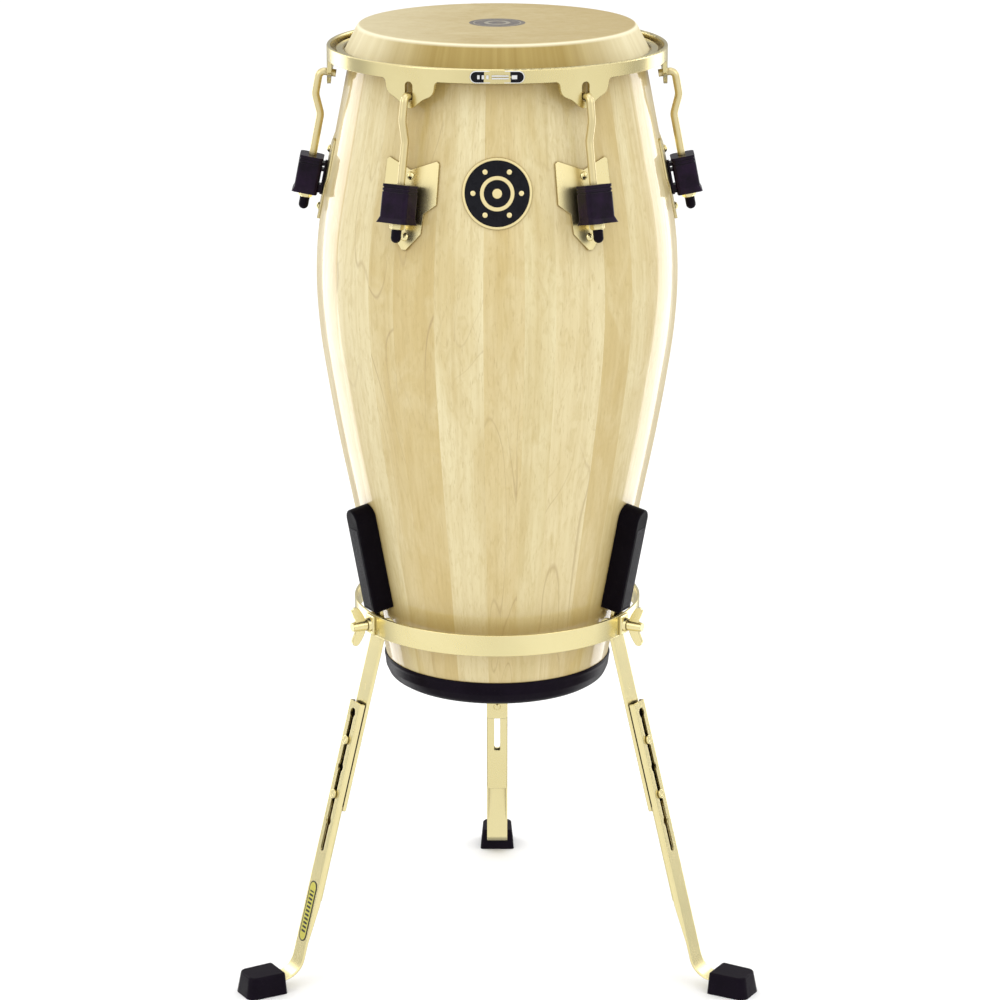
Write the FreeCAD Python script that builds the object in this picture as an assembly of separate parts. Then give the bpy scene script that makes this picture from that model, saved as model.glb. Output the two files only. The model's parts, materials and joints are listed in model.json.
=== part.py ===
"""Single conga drum held in a three-legged basket stand.

Units are millimetres.  +Z is up, and the origin lies on the floor under the middle of the object's
bounding box.  The drum's badge faces -Y.  One leg of the stand points to +Y, the other two to the
front left and the front right.  Everything is built about the drum's own axis, and write() moves it
to the origin.
"""
import FreeCAD, Part

import os
from math import atan, cos, degrees, pi, radians, sin, sqrt, tan

from FreeCAD import Vector

AXIS_Y = -61.332             # where the drum's axis stands; the back foot reaches further out

# ---- Drum: driving dimensions -------------------------------------------------------------
DRUM_BOTTOM_Z = 316.0        # underside of the rubber ring above the floor
DRUM_HEIGHT = 714.0          # 28 inch drum and its rubber ring
HEAD_TOP_Z = DRUM_BOTTOM_Z + DRUM_HEIGHT
SHELL_WALL = 12.0
WALL_ARCS = 3                # arcs that make the belly's inner line
SHELL_FOOT = (117.3, 322.0)  # radius, height of the shell's lower edge
SHELL_LOW_CONE_TOP = (156.4, 520.0)
SHELL_BELLY = [(170.4, 590.0), (180.8, 650.0), (188.6, 705.0), (191.9, 760.0), (190.0, 805.0),
               (183.6, 850.0)]
SHELL_HIGH_CONE_FOOT = (177.5, 880.0)
SHELL_HIGH_CONE_TOP = (151.3, 1012.0)
BEARING_EDGE_MID = (146.8, 1021.6)
BEARING_EDGE_CREST = (141.5, HEAD_TOP_Z - 2.4)

SKIN = 2.0                   # thickness of the head
HEAD_FLAT_R = 141.0          # where the flat playing surface starts to roll over
HEAD_ROLL_R = 7.0
COLLAR_SLOPE = 0.52          # radius gained per millimetre of depth
HOOP_R = 161.5               # flesh hoop's centre circle
HOOP_Z = 996.5
HOOP_WIRE_R = 3.0
HOOP_GAP = 0.1
TUCK_R = 4.7                 # outside of the skin where it wraps the flesh hoop

RUBBER_RING_R = 123.4
RUBBER_RING_TOP_Z = 343.0
RUBBER_RING_EDGE = 1.2
RUBBER_RING_SIDE_FOOT = (122.3, 328.5)
RUBBER_RING_ROUND_MID = (120.2, 319.4)
RUBBER_RING_BASE_R = 114.5
RUBBER_LIP_HEIGHT = 10.0     # how far the ring reaches up inside the shell
RUBBER_LIP_WALL = 2.0

BADGE_Z = 883.0
BADGE_R = 35.5
BADGE_THICKNESS = 1.4

# ---- Tuning rim and lugs ------------------------------------------------------------------
RIM_R = 178.5
RIM_WALL = 4.0
RIM_TOP_Z = 1009.2
RIM_BOTTOM_Z = 994.5
RIM_STEP = [(174.5, 999.5), (170.0, 998.8), (168.6, 1004.2)]   # from the band down and up again
RIM_LIP = [(161.8, 1004.6), (160.8, 1003.6), (160.8, 1001.6)]  # over the flesh hoop
RIM_UNDERSIDE = [(166.9, 1001.6), (167.8, 996.2), (175.0, 996.2), (175.0, RIM_BOTTOM_Z)]
EAR_TIP_Z = 966.0
EAR_HALF_WIDTH = 32.0
EAR_CURVE = [(29.2, 992.0), (28.0, 986.0), (24.5, 979.8), (17.0, 976.0), (9.5, 970.4), (4.5, 966.8)]
EAR_SLOT_W = 8.8
EAR_SLOT_BOTTOM_Z = 972.9
EAR_SLOT_TOP_Z = 993.0
RIM_BADGE_LENGTH = 55.0
RIM_BADGE_HEIGHT = 12.6
RIM_BADGE_THICKNESS = 1.2

LUG_AZIMUTHS = [-150, -90, -30, 30, 90, 150]
LUG_TILT = 11.3              # degrees, the lug leans with the shell's upper cone
LUG_R = 198.4                # tuning rod's axis where it crosses LUG_Z
LUG_Z = 871.0
BLOCK_DEPTH = 25.4
BLOCK_WIDTH = 31.0
BLOCK_HEIGHT = 39.4
BLOCK_CORNER_R = 5.0
FLARE_CORNER_R = 4.0
BLOCK_SHIFT = 0.5            # the block lies a little outwards of the rod's axis
FLARE_HEIGHT = 8.0           # the block widens towards its underside
FLARE_OUT = 1.6
FLARE_SIDE = 2.4
FLARE_INNER = 0.86           # the flare stays short on the side of the strap
GROOVE_DROPS = [3.6, 7.4]    # grooves round the block, below its top
GROOVE_HALF = 0.8
GROOVE_DEPTH = 0.9
WEB_SPANS = [(11.0, 14.6), (5.2, 7.4), (-18.0, -9.5)]   # webs between the block and its strap
STRAP_WIDTH = 13.0
STRAP_IN = -16.5             # strap's inner face, outwards from the rod's axis
STRAP_OUT = -14.3
STRAP_SPAN = (-14.0, 10.5)   # centres of the strap's round ends
LUG_SCREW_HEIGHTS = [29.7, -32.7]
LUG_SCREW_R = 2.5
LUG_SCREW_END = -38.5        # inner end of a lug screw, outwards from the rod's axis
SCREW_DOME_R = 4.6
SCREW_DOME_SINK = 1.6        # the dome's centre lies behind the plate's face
HOLE_GAP = 0.1
WASHER_R = 8.0
WASHER_THICKNESS = 1.2
WASHER_OUT = -32.2           # the washer's face towards the shell
INNER_NUT_ACROSS_FLATS = 8.0
INNER_NUT_HEIGHT = 4.0
ROD_R = 4.0
HOOK_CORNERS = [(169.0, 976.7), (186.2, 979.6), (190.9, 955.0)]
HOOK_SHANK_TOP_Z = 934.0
HOOK_BENDS = [6.5, 14.0, 14.0]
ROD_BORE_R = 4.5
PLATE_THICKNESS = 2.0
PLATE_FOLD = 5.0             # degrees each half folds back
PLATE_OUTLINE = [(0, 35.4), (28, 46.5), (31, 44.5), (32, 2.6), (19, -7.7), (17.7, -28.5), (2.5, -46)]
NUT_ACROSS_FLATS = 13.0
NUT_HEIGHT = 5.8
CAP_R = 5.2
CAP_LENGTH = 13.6
CAP_WALL = 1.0
ROD_END_Z = 837.0
RUNNING_GAP = 0.05           # radial clearance of a running fit
CLEARANCE = 0.3              # gap between parts that slide past each other

# ---- Basket stand -------------------------------------------------------------------------
LEG_NAMES = {"left": -60, "right": 60, "back": 180}
RING_R = 155.3
RING_WALL = 3.0
RING_TOP_Z = 406.8
RING_BOTTOM_Z = 383.9
RING_BEVEL = 0.7
PIVOT_R = 144.2
PIVOT_Z = 395.3
BARREL_R = 5.5
PIN_R = 2.5
CHEEK_WALL = 3.0
CHEEK_R = 8.5
CHEEK_GAP = 0.4
PIN_HEAD_R = 4.0
PIN_HEAD_HEIGHT = 1.8
LEG_TILT = 14.8              # degrees, lower leg from the vertical
PAD_TILT = 11.15             # degrees, pad from the vertical, the shell's lower cone
LEG_WIDTH = 24.0
BAR_THICKNESS = 4.0
BAR_LENGTH = 210.0
BAR_CORNER_R = 3.0
BAR_EDGE_R = 0.9
DIMPLE_DROPS = [68.5, 73.5]  # two small dimples in the bar's face, below the pivot
DIMPLE_R = 2.0
DIMPLE_DEPTH = 0.8
CHANNEL_TOP = 90.0           # below the pivot, along the leg
CHANNEL_DEPTH = 6.0
CHANNEL_GAP = 1.5            # between the upper bar and the channel's edges
CHANNEL_WALL = 2.0
CHANNEL_EDGE_R = 1.6
FLANGE_TAPER_START = 318.0
FLANGE_TAPER_END = 360.0
FOOT_BEND_R = 24.0           # inner radius of the bend above the foot
TAIL_TOP_Z = 14.0
TAIL_END_R = 296.0
KEYHOLES = [102.3, 163.3, 224.3]
KEYHOLE_DROP = 30.5          # from the round hole down to the stud's seat
KEYHOLE_R = 5.4
SLOT_W = 7.0
STUD_R = 3.0
STUD_HEAD_R = 5.0
STUD_HEAD_HEIGHT = 2.2
STUD_HEAD_ROUND = 0.8
STUD_HEAD_GAP = 0.4          # between the stud's head and the channel
RIVET_RADII = (3.0, 4.2)
RIVET_HEIGHT = 1.4
STUD_SEATS = [KEYHOLES[0] + KEYHOLE_DROP, KEYHOLES[1] + KEYHOLE_DROP]
PAD_BOTTOM = 17.5            # above the pivot, along the pad
PAD_TOP = 134.5
PAD_DEPTH = 22.4
PAD_WIDTH = 25.0
PAD_GAP = 0.35
PAD_EDGE_R = 2.0
TONGUE_WIDTH = 14.0
TONGUE_TOP = 122.0
SCREW_R = 4.0
SADDLE_WIDTH = 17.0
SADDLE_HEIGHT = 21.0
SADDLE_THICKNESS = 3.0
SADDLE_CHAMFER = 1.2
BOSS_END_R = 162.0
BOSS_RADII = (8.2, 7.0)
WING_HUB_END_R = 179.0
WING_HUB_RADII = (5.6, 4.8)
WING_THICKNESS = 3.6
WING_CURVE = [(0.8, 3.5), (2.5, 8.5), (7.5, 17.5), (12.0, 21.3), (16.2, 19.8), (16.8, 15.0),
              (14.0, 8.5), (13.5, 3.5)]
FOOT_HEIGHT = 23.5
FOOT_LOW = [(272.4, -20.0), (318.0, -18.8), (318.0, 18.8), (272.4, 20.0)]
FOOT_HIGH = [(273.6, -17.6), (314.0, -16.6), (314.0, 16.6), (273.6, 17.6)]
FOOT_INNER_R = 3.5
FOOT_OUTER_R = 9.0
FOOT_TOP_R = 2.4
LABEL_START = 293.0          # along the left leg, below the pivot
LABEL_END = 361.0
LABEL_WIDTH = 15.0
LABEL_THICKNESS = 0.4

ORIGIN = Vector(0, 0, 0)
X = Vector(1, 0, 0)
Y = Vector(0, 1, 0)
Z = Vector(0, 0, 1)
BIG = 400.0


# ---- Small geometry helpers ---------------------------------------------------------------
def rz(point):
    """A radius and height pair as a point in the XZ half plane."""
    return Vector(point[0], 0, point[1])


def line(a, b):
    return Part.LineSegment(a, b).toShape()


def arc(a, b, c):
    return Part.Arc(a, b, c).toShape()


def face_of(edges):
    return Part.Face(Part.Wire(Part.sortEdges(edges)[0]))


def polygon_face(points):
    return Part.Face(Part.makePolygon(list(points) + [points[0]]))


def revolved(edges):
    return face_of(edges).revolve(ORIGIN, Z, 360)


def revolved_polygon(points):
    return polygon_face([rz(p) for p in points]).revolve(ORIGIN, Z, 360)


def box(x0, x1, y0, y1, z0, z1):
    return Part.makeBox(x1 - x0, y1 - y0, z1 - z0, Vector(x0, y0, z0))


def at_azimuth(shape, azimuth):
    """Turn a shape built along +X to an azimuth, counted from -Y towards +X."""
    turned = shape.copy()
    turned.rotate(ORIGIN, Z, azimuth - 90)
    return turned


def leaning(shape, tilt, radius, height):
    """Lean a shape built about the Z axis outwards going down, then move its origin out and up."""
    leant = shape.copy()
    leant.rotate(ORIGIN, Y, -tilt)
    leant.translate(Vector(radius, 0, height))
    return leant


def write(name, shapes):
    """Write one node: the solids of one or more shapes, moved to the origin."""
    solids = [solid for shape in shapes for solid in shape.Solids]
    valid = all(solid.isValid() for solid in solids)
    result = solids[0] if len(solids) == 1 else Part.makeCompound(solids)
    result = result.copy()
    result.translate(Vector(0, AXIS_Y, 0))
    result.exportStep("parts/" + name + ".step")
    print("%-22s %2d solids%s" % (name, len(solids), "" if valid else "  INVALID"))


# ---- Shell --------------------------------------------------------------------------------
def shell_outline(shift):
    """Edges of the shell's outer line from foot to top, moved radially by shift."""
    def moved(point):
        return Vector(point[0] + shift, 0, point[1])
    low_foot, low_top = moved(SHELL_FOOT), moved(SHELL_LOW_CONE_TOP)
    high_foot, high_top = moved(SHELL_HIGH_CONE_FOOT), moved(SHELL_HIGH_CONE_TOP)
    belly = Part.BSplineCurve()
    belly.interpolate(Points=[low_top] + [moved(p) for p in SHELL_BELLY] + [high_foot],
                      InitialTangent=low_top - low_foot, FinalTangent=high_top - high_foot)
    return [line(low_foot, low_top), belly.toShape(), line(high_foot, high_top)]


def wall_line():
    """Edges of the shell's inner line: its two cones, and arcs that follow the belly."""
    low, belly, high = shell_outline(-SHELL_WALL)
    start, end = belly.ParameterRange
    step = (end - start) / (2 * WALL_ARCS)
    points = [belly.Curve.value(start + i * step) for i in range(2 * WALL_ARCS + 1)]
    return [low, high] + [arc(*points[i:i + 3]) for i in range(0, 2 * WALL_ARCS, 2)]


def shell_space(shift):
    """The whole volume inside the shell's outer line moved out by shift."""
    foot, top = SHELL_FOOT, SHELL_HIGH_CONE_TOP
    ends = [rz((0, foot[1])), rz((0, top[1]))]
    edges = shell_outline(shift)
    edges.append(line(ends[0], Vector(foot[0] + shift, 0, foot[1])))
    edges.append(line(ends[1], Vector(top[0] + shift, 0, top[1])))
    edges.append(line(ends[0], ends[1]))
    return revolved(edges)


def screw_cylinder(radius, height):
    """Long cylinder on the axis of a lug's screw, in the lug's own frame."""
    return Part.makeCylinder(radius, 50, Vector(-50, 0, height), X)


def lug_screw_holes():
    """The holes that the lugs' screws need in the shell."""
    holes = [screw_cylinder(LUG_SCREW_R + HOLE_GAP, height) for height in LUG_SCREW_HEIGHTS]
    return [place_lug(hole, azimuth) for azimuth in LUG_AZIMUTHS for hole in holes]


def make_shell():
    foot, top = SHELL_FOOT, SHELL_HIGH_CONE_TOP
    crest = rz(BEARING_EDGE_CREST)
    inner_foot = rz((foot[0] - SHELL_WALL, foot[1]))
    inner_top = rz((top[0] - SHELL_WALL, top[1]))
    edges = shell_outline(0) + wall_line()
    edges.append(line(rz(foot), inner_foot))
    edges.append(arc(rz(top), rz(BEARING_EDGE_MID), crest))
    edges.append(line(crest, inner_top))
    return revolved(edges).cut(Part.makeCompound(lug_screw_holes()))


def make_bottom_ring():
    """Rubber ring that wraps the shell's lower edge."""
    slope = (SHELL_LOW_CONE_TOP[0] - SHELL_FOOT[0]) / (SHELL_LOW_CONE_TOP[1] - SHELL_FOOT[1])
    foot_r, foot_z = SHELL_FOOT
    top_r = foot_r + slope * (RUBBER_RING_TOP_Z - foot_z)
    inner_foot_r = foot_r - SHELL_WALL
    lip_z = foot_z + RUBBER_LIP_HEIGHT
    lip_r = inner_foot_r + slope * RUBBER_LIP_HEIGHT
    inside_r = inner_foot_r - RUBBER_LIP_WALL
    outline = [(top_r, RUBBER_RING_TOP_Z), (RUBBER_RING_R - RUBBER_RING_EDGE, RUBBER_RING_TOP_Z),
               (RUBBER_RING_R, RUBBER_RING_TOP_Z - RUBBER_RING_EDGE), RUBBER_RING_SIDE_FOOT,
               (RUBBER_RING_BASE_R, DRUM_BOTTOM_Z), (inside_r, DRUM_BOTTOM_Z),
               (lip_r - RUBBER_LIP_WALL, lip_z), (lip_r, lip_z), (inner_foot_r, foot_z),
               (foot_r, foot_z)]
    points = [rz(p) for p in outline]
    edges = [line(points[i], points[i + 1]) for i in range(len(points) - 1) if i != 3]
    edges.append(arc(points[3], rz(RUBBER_RING_ROUND_MID), points[4]))
    edges.append(line(points[-1], points[0]))
    return revolved(edges)


# ---- Head ---------------------------------------------------------------------------------
def make_head():
    """Skin with its rolled collar, wrapped round the flesh hoop at its lower edge."""
    along = 1 / sqrt(1 + COLLAR_SLOPE ** 2)
    across = COLLAR_SLOPE * along
    centre_z = HEAD_TOP_Z - HEAD_ROLL_R
    inner_roll = HEAD_ROLL_R - SKIN
    collar_end_z = HOOP_Z + 2.5

    def on_roll(radius, angle):
        return rz((HEAD_FLAT_R + radius * sin(angle), centre_z + radius * cos(angle)))

    turn = pi / 2 - atan(COLLAR_SLOPE)
    outer_end = on_roll(HEAD_ROLL_R, turn)
    inner_end = on_roll(inner_roll, turn)
    drop = outer_end.z - collar_end_z
    outer_foot = rz((outer_end.x + COLLAR_SLOPE * drop, collar_end_z))
    inner_foot = outer_foot - Vector(SKIN * along, 0, SKIN * across)
    edges = [line(rz((0, HEAD_TOP_Z)), rz((HEAD_FLAT_R, HEAD_TOP_Z))),
             arc(on_roll(HEAD_ROLL_R, 0), on_roll(HEAD_ROLL_R, turn / 2), outer_end),
             line(outer_end, outer_foot), line(outer_foot, inner_foot), line(inner_foot, inner_end),
             arc(inner_end, on_roll(inner_roll, turn / 2), on_roll(inner_roll, 0)),
             line(rz((HEAD_FLAT_R, HEAD_TOP_Z - SKIN)), rz((0, HEAD_TOP_Z - SKIN))),
             line(rz((0, HEAD_TOP_Z - SKIN)), rz((0, HEAD_TOP_Z)))]
    tuck = Part.makeTorus(HOOP_R, TUCK_R, Vector(0, 0, HOOP_Z))
    hollow = Part.makeTorus(HOOP_R, HOOP_WIRE_R + HOOP_GAP, Vector(0, 0, HOOP_Z))
    return revolved(edges).fuse(tuck).cut(hollow)


def make_flesh_hoop():
    return Part.makeTorus(HOOP_R, HOOP_WIRE_R, Vector(0, 0, HOOP_Z))


def make_shell_badge():
    """Thin disc that follows the shell's front."""
    disc = Part.makeCylinder(BADGE_R, 60, Vector(150, 0, BADGE_Z), X)
    disc = at_azimuth(disc, 0)
    return disc.common(shell_space(BADGE_THICKNESS)).cut(shell_space(0))


# ---- Tuning rim ---------------------------------------------------------------------------
def ear_outline():
    """Closed outline of an ear in the tangential and vertical directions."""
    half = [(EAR_HALF_WIDTH, RIM_BOTTOM_Z + 2), (EAR_HALF_WIDTH, RIM_BOTTOM_Z)] + EAR_CURVE
    half.append((0, EAR_TIP_Z))
    right = [Vector(0, t, z) for t, z in half]
    left = [Vector(0, -t, z) for t, z in reversed(half[:-1])]
    side_a = Part.BSplineCurve()
    side_a.interpolate(Points=right[1:])
    side_b = Part.BSplineCurve()
    side_b.interpolate(Points=[right[-1]] + left[:-1])
    return [line(right[0], right[1]), side_a.toShape(), side_b.toShape(), line(left[-2], left[-1]),
            line(left[-1], right[0])]


def slot_prism(width, low, high, depth):
    """Upright slot with round ends, standing out along +X."""
    radius = width / 2
    low_end = Part.makeCylinder(radius, depth, Vector(0, 0, low + radius), X)
    high_end = Part.makeCylinder(radius, depth, Vector(0, 0, high - radius), X)
    middle = box(0, depth, -radius, radius, low + radius, high - radius)
    return middle.fuse(low_end).fuse(high_end)


def make_rim():
    inner = RIM_R - RIM_WALL
    edge = RIM_WALL / 2
    outline = [(RIM_R, RIM_BOTTOM_Z), (RIM_R, RIM_TOP_Z - edge), (inner, RIM_TOP_Z - edge)]
    outline += RIM_STEP + RIM_LIP + RIM_UNDERSIDE
    points = [rz(p) for p in outline]
    edges = [line(points[i], points[i + 1]) for i in range(len(points) - 1) if i != 1]
    edges.append(arc(points[1], rz((RIM_R - edge, RIM_TOP_Z)), points[2]))
    edges.append(line(points[-1], points[0]))
    rim = revolved(edges)
    band = revolved_polygon([(inner, 960), (RIM_R, 960), (RIM_R, RIM_BOTTOM_Z + 2),
                             (inner, RIM_BOTTOM_Z + 2)])
    ear = face_of(ear_outline()).extrude(Vector(BIG, 0, 0))
    ears = [at_azimuth(ear, azimuth).common(band) for azimuth in LUG_AZIMUTHS]
    slot = slot_prism(EAR_SLOT_W, EAR_SLOT_BOTTOM_Z, EAR_SLOT_TOP_Z, BIG)
    slot.translate(Vector(inner - 3, 0, 0))
    slots = [at_azimuth(slot, azimuth) for azimuth in LUG_AZIMUTHS]
    return rim.multiFuse(ears).cut(Part.makeCompound(slots)).removeSplitter()


def make_rim_badge():
    """Pill shaped plate on the rim's front."""
    middle_z = (RIM_TOP_Z - 1 + RIM_BOTTOM_Z) / 2
    pill = slot_prism(RIM_BADGE_HEIGHT, -RIM_BADGE_LENGTH / 2, RIM_BADGE_LENGTH / 2, 40)
    pill.rotate(ORIGIN, X, 90)
    pill.translate(Vector(160, 0, middle_z))
    outer = RIM_R + RIM_BADGE_THICKNESS
    band = revolved_polygon([(RIM_R, 980), (outer, 980), (outer, 1020), (RIM_R, 1020)])
    return at_azimuth(pill, 0).common(band)


# ---- Lugs, built about the rod's axis with +X outwards and +Z up the rod ---------------------
def place_lug(shape, azimuth):
    return at_azimuth(leaning(shape, LUG_TILT, LUG_R, LUG_Z), azimuth)


def lug_bracket():
    """Block that holds the rod, joined by three webs to a strap on the side plate."""
    x, y, z = BLOCK_DEPTH / 2, BLOCK_WIDTH / 2, BLOCK_HEIGHT / 2
    body = box(-x, x, -y, y, -z, z)
    upright = [e for e in body.Edges if abs(e.tangentAt(0).z) > 0.9]
    body = body.makeFillet(BLOCK_CORNER_R, upright)
    inner = -FLARE_INNER
    flare_low = Part.makePolygon([Vector(s * (x + FLARE_OUT), t * (y + FLARE_SIDE), -z) for s, t in
                                  ((inner, -1), (1, -1), (1, 1), (inner, 1), (inner, -1))])
    flare_high = Part.makePolygon([Vector(s * (x - 1), t * (y - 1), -z + FLARE_HEIGHT) for s, t in
                                   ((-1, -1), (1, -1), (1, 1), (-1, 1), (-1, -1))])
    flare = Part.makeLoft([flare_low, flare_high], True)
    upright = [e for e in flare.Edges if abs(e.tangentAt(0).z) > 0.7]
    flare = flare.makeFillet(FLARE_CORNER_R, upright)
    body = body.fuse(flare)
    for drop in GROOVE_DROPS:
        low, high = z - drop - GROOVE_HALF, z - drop + GROOVE_HALF
        around = box(-x - 5, x + 5, -y - 5, y + 5, low, high)
        core_x, core_y = x - GROOVE_DEPTH, y - GROOVE_DEPTH
        core = box(-core_x, core_x, -core_y, core_y, low - 1, high + 1)
        upright = [e for e in core.Edges if abs(e.tangentAt(0).z) > 0.9]
        body = body.cut(around.cut(core.makeFillet(BLOCK_CORNER_R - GROOVE_DEPTH, upright)))
    body.translate(Vector(BLOCK_SHIFT, 0, 0))
    half = STRAP_WIDTH / 2
    low, high = STRAP_SPAN
    strap = box(STRAP_IN, STRAP_OUT, -half, half, low, high)
    for height in (low, high):
        end = Part.makeCylinder(half, STRAP_OUT - STRAP_IN, Vector(STRAP_IN, 0, height), X)
        strap = strap.fuse(end)
    webs = [box(STRAP_OUT - 0.5, BLOCK_SHIFT - x + 0.5, -half, half, a, b) for a, b in WEB_SPANS]
    bracket = body.fuse(strap).multiFuse(webs)
    bore = Part.makeCylinder(ROD_BORE_R, 2 * BLOCK_HEIGHT, Vector(0, 0, -BLOCK_HEIGHT))
    return bracket.cut(bore)


def side_plate():
    """Shield shaped plate, folded a little along its centre line to lie on the round shell."""
    half = [Vector(0, t, z) for t, z in PLATE_OUTLINE]
    tip = Vector(0, 0, PLATE_OUTLINE[-1][1])
    right = polygon_face(half + [tip]).extrude(Vector(PLATE_THICKNESS + 3, 0, 0))
    right.translate(Vector(STRAP_IN - PLATE_THICKNESS - 3, 0, 0))
    pivot = Vector(STRAP_IN, 0, 0)
    right.rotate(pivot, Z, PLATE_FOLD)
    left = right.mirror(ORIGIN, Y)
    plate = right.fuse(left)
    holes = [screw_cylinder(LUG_SCREW_R + HOLE_GAP, h) for h in LUG_SCREW_HEIGHTS]
    return plate.cut(Part.makeCompound(holes))


def make_side_plates():
    """Each plate is trimmed where it lies on the shell, which leaves about its own thickness."""
    shell = shell_space(0)
    return [max(place_lug(side_plate(), azimuth).cut(shell).Solids, key=lambda s: s.Volume)
            for azimuth in LUG_AZIMUTHS]


def lug_screws():
    """Dome headed screws from the plate's fold to the inside of the shell."""
    screws = []
    for height in LUG_SCREW_HEIGHTS:
        dome = Part.makeSphere(SCREW_DOME_R, Vector(STRAP_IN - SCREW_DOME_SINK, 0, height), X)
        reach = 2 * SCREW_DOME_R
        outside = box(STRAP_IN, STRAP_IN + reach, -reach, reach, height - reach, height + reach)
        head = dome.common(outside)
        end = Vector(LUG_SCREW_END, 0, height)
        shank = Part.makeCylinder(LUG_SCREW_R, STRAP_IN - LUG_SCREW_END, end, X)
        screws.append(head.fuse(shank).removeSplitter())
    return screws


def hexagon(across_flats, height, base, direction):
    radius = across_flats / sqrt(3)
    points = [Vector(radius * cos(i * pi / 3), radius * sin(i * pi / 3), 0) for i in range(6)]
    prism = polygon_face(points).extrude(Vector(0, 0, height))
    prism.Placement = FreeCAD.Placement(base, FreeCAD.Rotation(Z, direction))
    return prism


def inner_fixings():
    """Washer and nut of each lug screw, against the inside of the shell."""
    washers, nuts = [], []
    washer_in = WASHER_OUT - WASHER_THICKNESS
    for height in LUG_SCREW_HEIGHTS:
        washer = Part.makeCylinder(WASHER_R, WASHER_THICKNESS, Vector(washer_in, 0, height), X)
        washers.append(washer.cut(screw_cylinder(LUG_SCREW_R + HOLE_GAP, height)))
        base = Vector(washer_in - INNER_NUT_HEIGHT, 0, height)
        nut = hexagon(INNER_NUT_ACROSS_FLATS, INNER_NUT_HEIGHT, base, X)
        nuts.append(nut.cut(screw_cylinder(LUG_SCREW_R, height)))
    return washers, nuts


def tuning_hook():
    """Round rod: inner end, bend over the ear's slot, offset bend, straight threaded shank."""
    tilt = tan(radians(LUG_TILT))

    def on_axis(height):
        return Vector(LUG_R + (LUG_Z - height) * tilt, 0, height)

    corners = [rz(p) for p in HOOK_CORNERS] + [on_axis(HOOK_SHANK_TOP_Z), on_axis(ROD_END_Z)]
    edges = []
    start = corners[0]
    for corner, after, bend in zip(corners[1:-1], corners[2:], HOOK_BENDS):
        into = (corner - start).normalize()
        out = (after - corner).normalize()
        turn = into.getAngle(out)
        reach = bend * tan(turn / 2)
        first, last = corner - into * reach, corner + out * reach
        towards = (out - into).normalize()
        middle = corner + towards * (bend / cos(turn / 2) - bend)
        edges.extend([line(start, first), arc(first, middle, last)])
        start = last
    edges.append(line(start, corners[-1]))
    path = Part.Wire(edges)
    heading = (corners[1] - corners[0]).normalize()
    profile = Part.Wire(Part.makeCircle(ROD_R, corners[0], heading))
    return path.makePipeShell([profile], True, False)


def lug_nut():
    bottom = -BLOCK_HEIGHT / 2 - CLEARANCE / 2 - NUT_HEIGHT
    nut = hexagon(NUT_ACROSS_FLATS, NUT_HEIGHT, Vector(0, 0, bottom), Z)
    cone = Part.makeCone(NUT_ACROSS_FLATS / 2 - 0.3, NUT_ACROSS_FLATS / 2 + NUT_HEIGHT,
                         NUT_HEIGHT + 0.3, Vector(0, 0, bottom))
    bore = Part.makeCylinder(ROD_R + RUNNING_GAP, 40, Vector(0, 0, -40))
    return nut.common(cone).cut(bore)


def end_cap():
    """Rubber cap pressed on the underside of the nut, hollow for the end of the rod."""
    top = -BLOCK_HEIGHT / 2 - CLEARANCE / 2 - NUT_HEIGHT
    centre = Vector(0, 0, top - CAP_LENGTH + CAP_R)
    outside = Part.makeCylinder(CAP_R, CAP_LENGTH - CAP_R, centre).fuse(Part.makeSphere(CAP_R, centre))
    inner_r = CAP_R - CAP_WALL
    hollow = Part.makeCylinder(inner_r, CAP_LENGTH, centre).fuse(Part.makeSphere(inner_r, centre))
    return outside.cut(hollow)


# ---- Stand: every piece is built along +X, then turned to its leg's azimuth ------------------
def place_leg(shape):
    """From the lower leg's frame, +X outwards and +Z up the leg, to the stand."""
    return leaning(shape, LEG_TILT, PIVOT_R, PIVOT_Z)


def make_ring():
    inner = RING_R - RING_WALL
    ring = revolved_polygon([(inner, RING_BOTTOM_Z), (RING_R - RING_BEVEL, RING_BOTTOM_Z),
                             (RING_R, RING_BOTTOM_Z + RING_BEVEL),
                             (RING_R, RING_TOP_Z - RING_BEVEL),
                             (RING_R - RING_BEVEL, RING_TOP_Z), (inner, RING_TOP_Z)])
    holes = [at_azimuth(Part.makeCylinder(SCREW_R + RUNNING_GAP, 30, Vector(140, 0, PIVOT_Z), X), a)
             for a in LEG_NAMES.values()]
    return ring.cut(Part.makeCompound(holes))


def bracket_cheeks():
    """Two cheeks on the ring's inside, one each side of the leg."""
    cheeks = []
    inside = Part.makeCylinder(RING_R - RING_WALL, 40, Vector(0, 0, PIVOT_Z - 20))
    for side in (-1, 1):
        near = LEG_WIDTH / 2 + CHEEK_GAP
        y0, y1 = sorted((side * near, side * (near + CHEEK_WALL)))
        cheek = box(PIVOT_R, RING_R, y0, y1, PIVOT_Z - CHEEK_R, PIVOT_Z + CHEEK_R)
        nose = Part.makeCylinder(CHEEK_R, CHEEK_WALL, Vector(PIVOT_R, y0, PIVOT_Z), Y)
        cheek = cheek.fuse(nose).common(inside)
        cheeks.append(cheek.cut(Part.makeCylinder(PIN_R, 80, Vector(PIVOT_R, -40, PIVOT_Z), Y)))
    return cheeks


def hinge_pin():
    reach = LEG_WIDTH / 2 + CHEEK_GAP + CHEEK_WALL
    pin = Part.makeCylinder(PIN_R, 2 * reach, Vector(PIVOT_R, -reach, PIVOT_Z), Y)
    for base in (-reach - PIN_HEAD_HEIGHT, reach):
        centre = Vector(PIVOT_R, base, PIVOT_Z)
        pin = pin.fuse(Part.makeCylinder(PIN_HEAD_R, PIN_HEAD_HEIGHT, centre, Y))
    return pin


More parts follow.
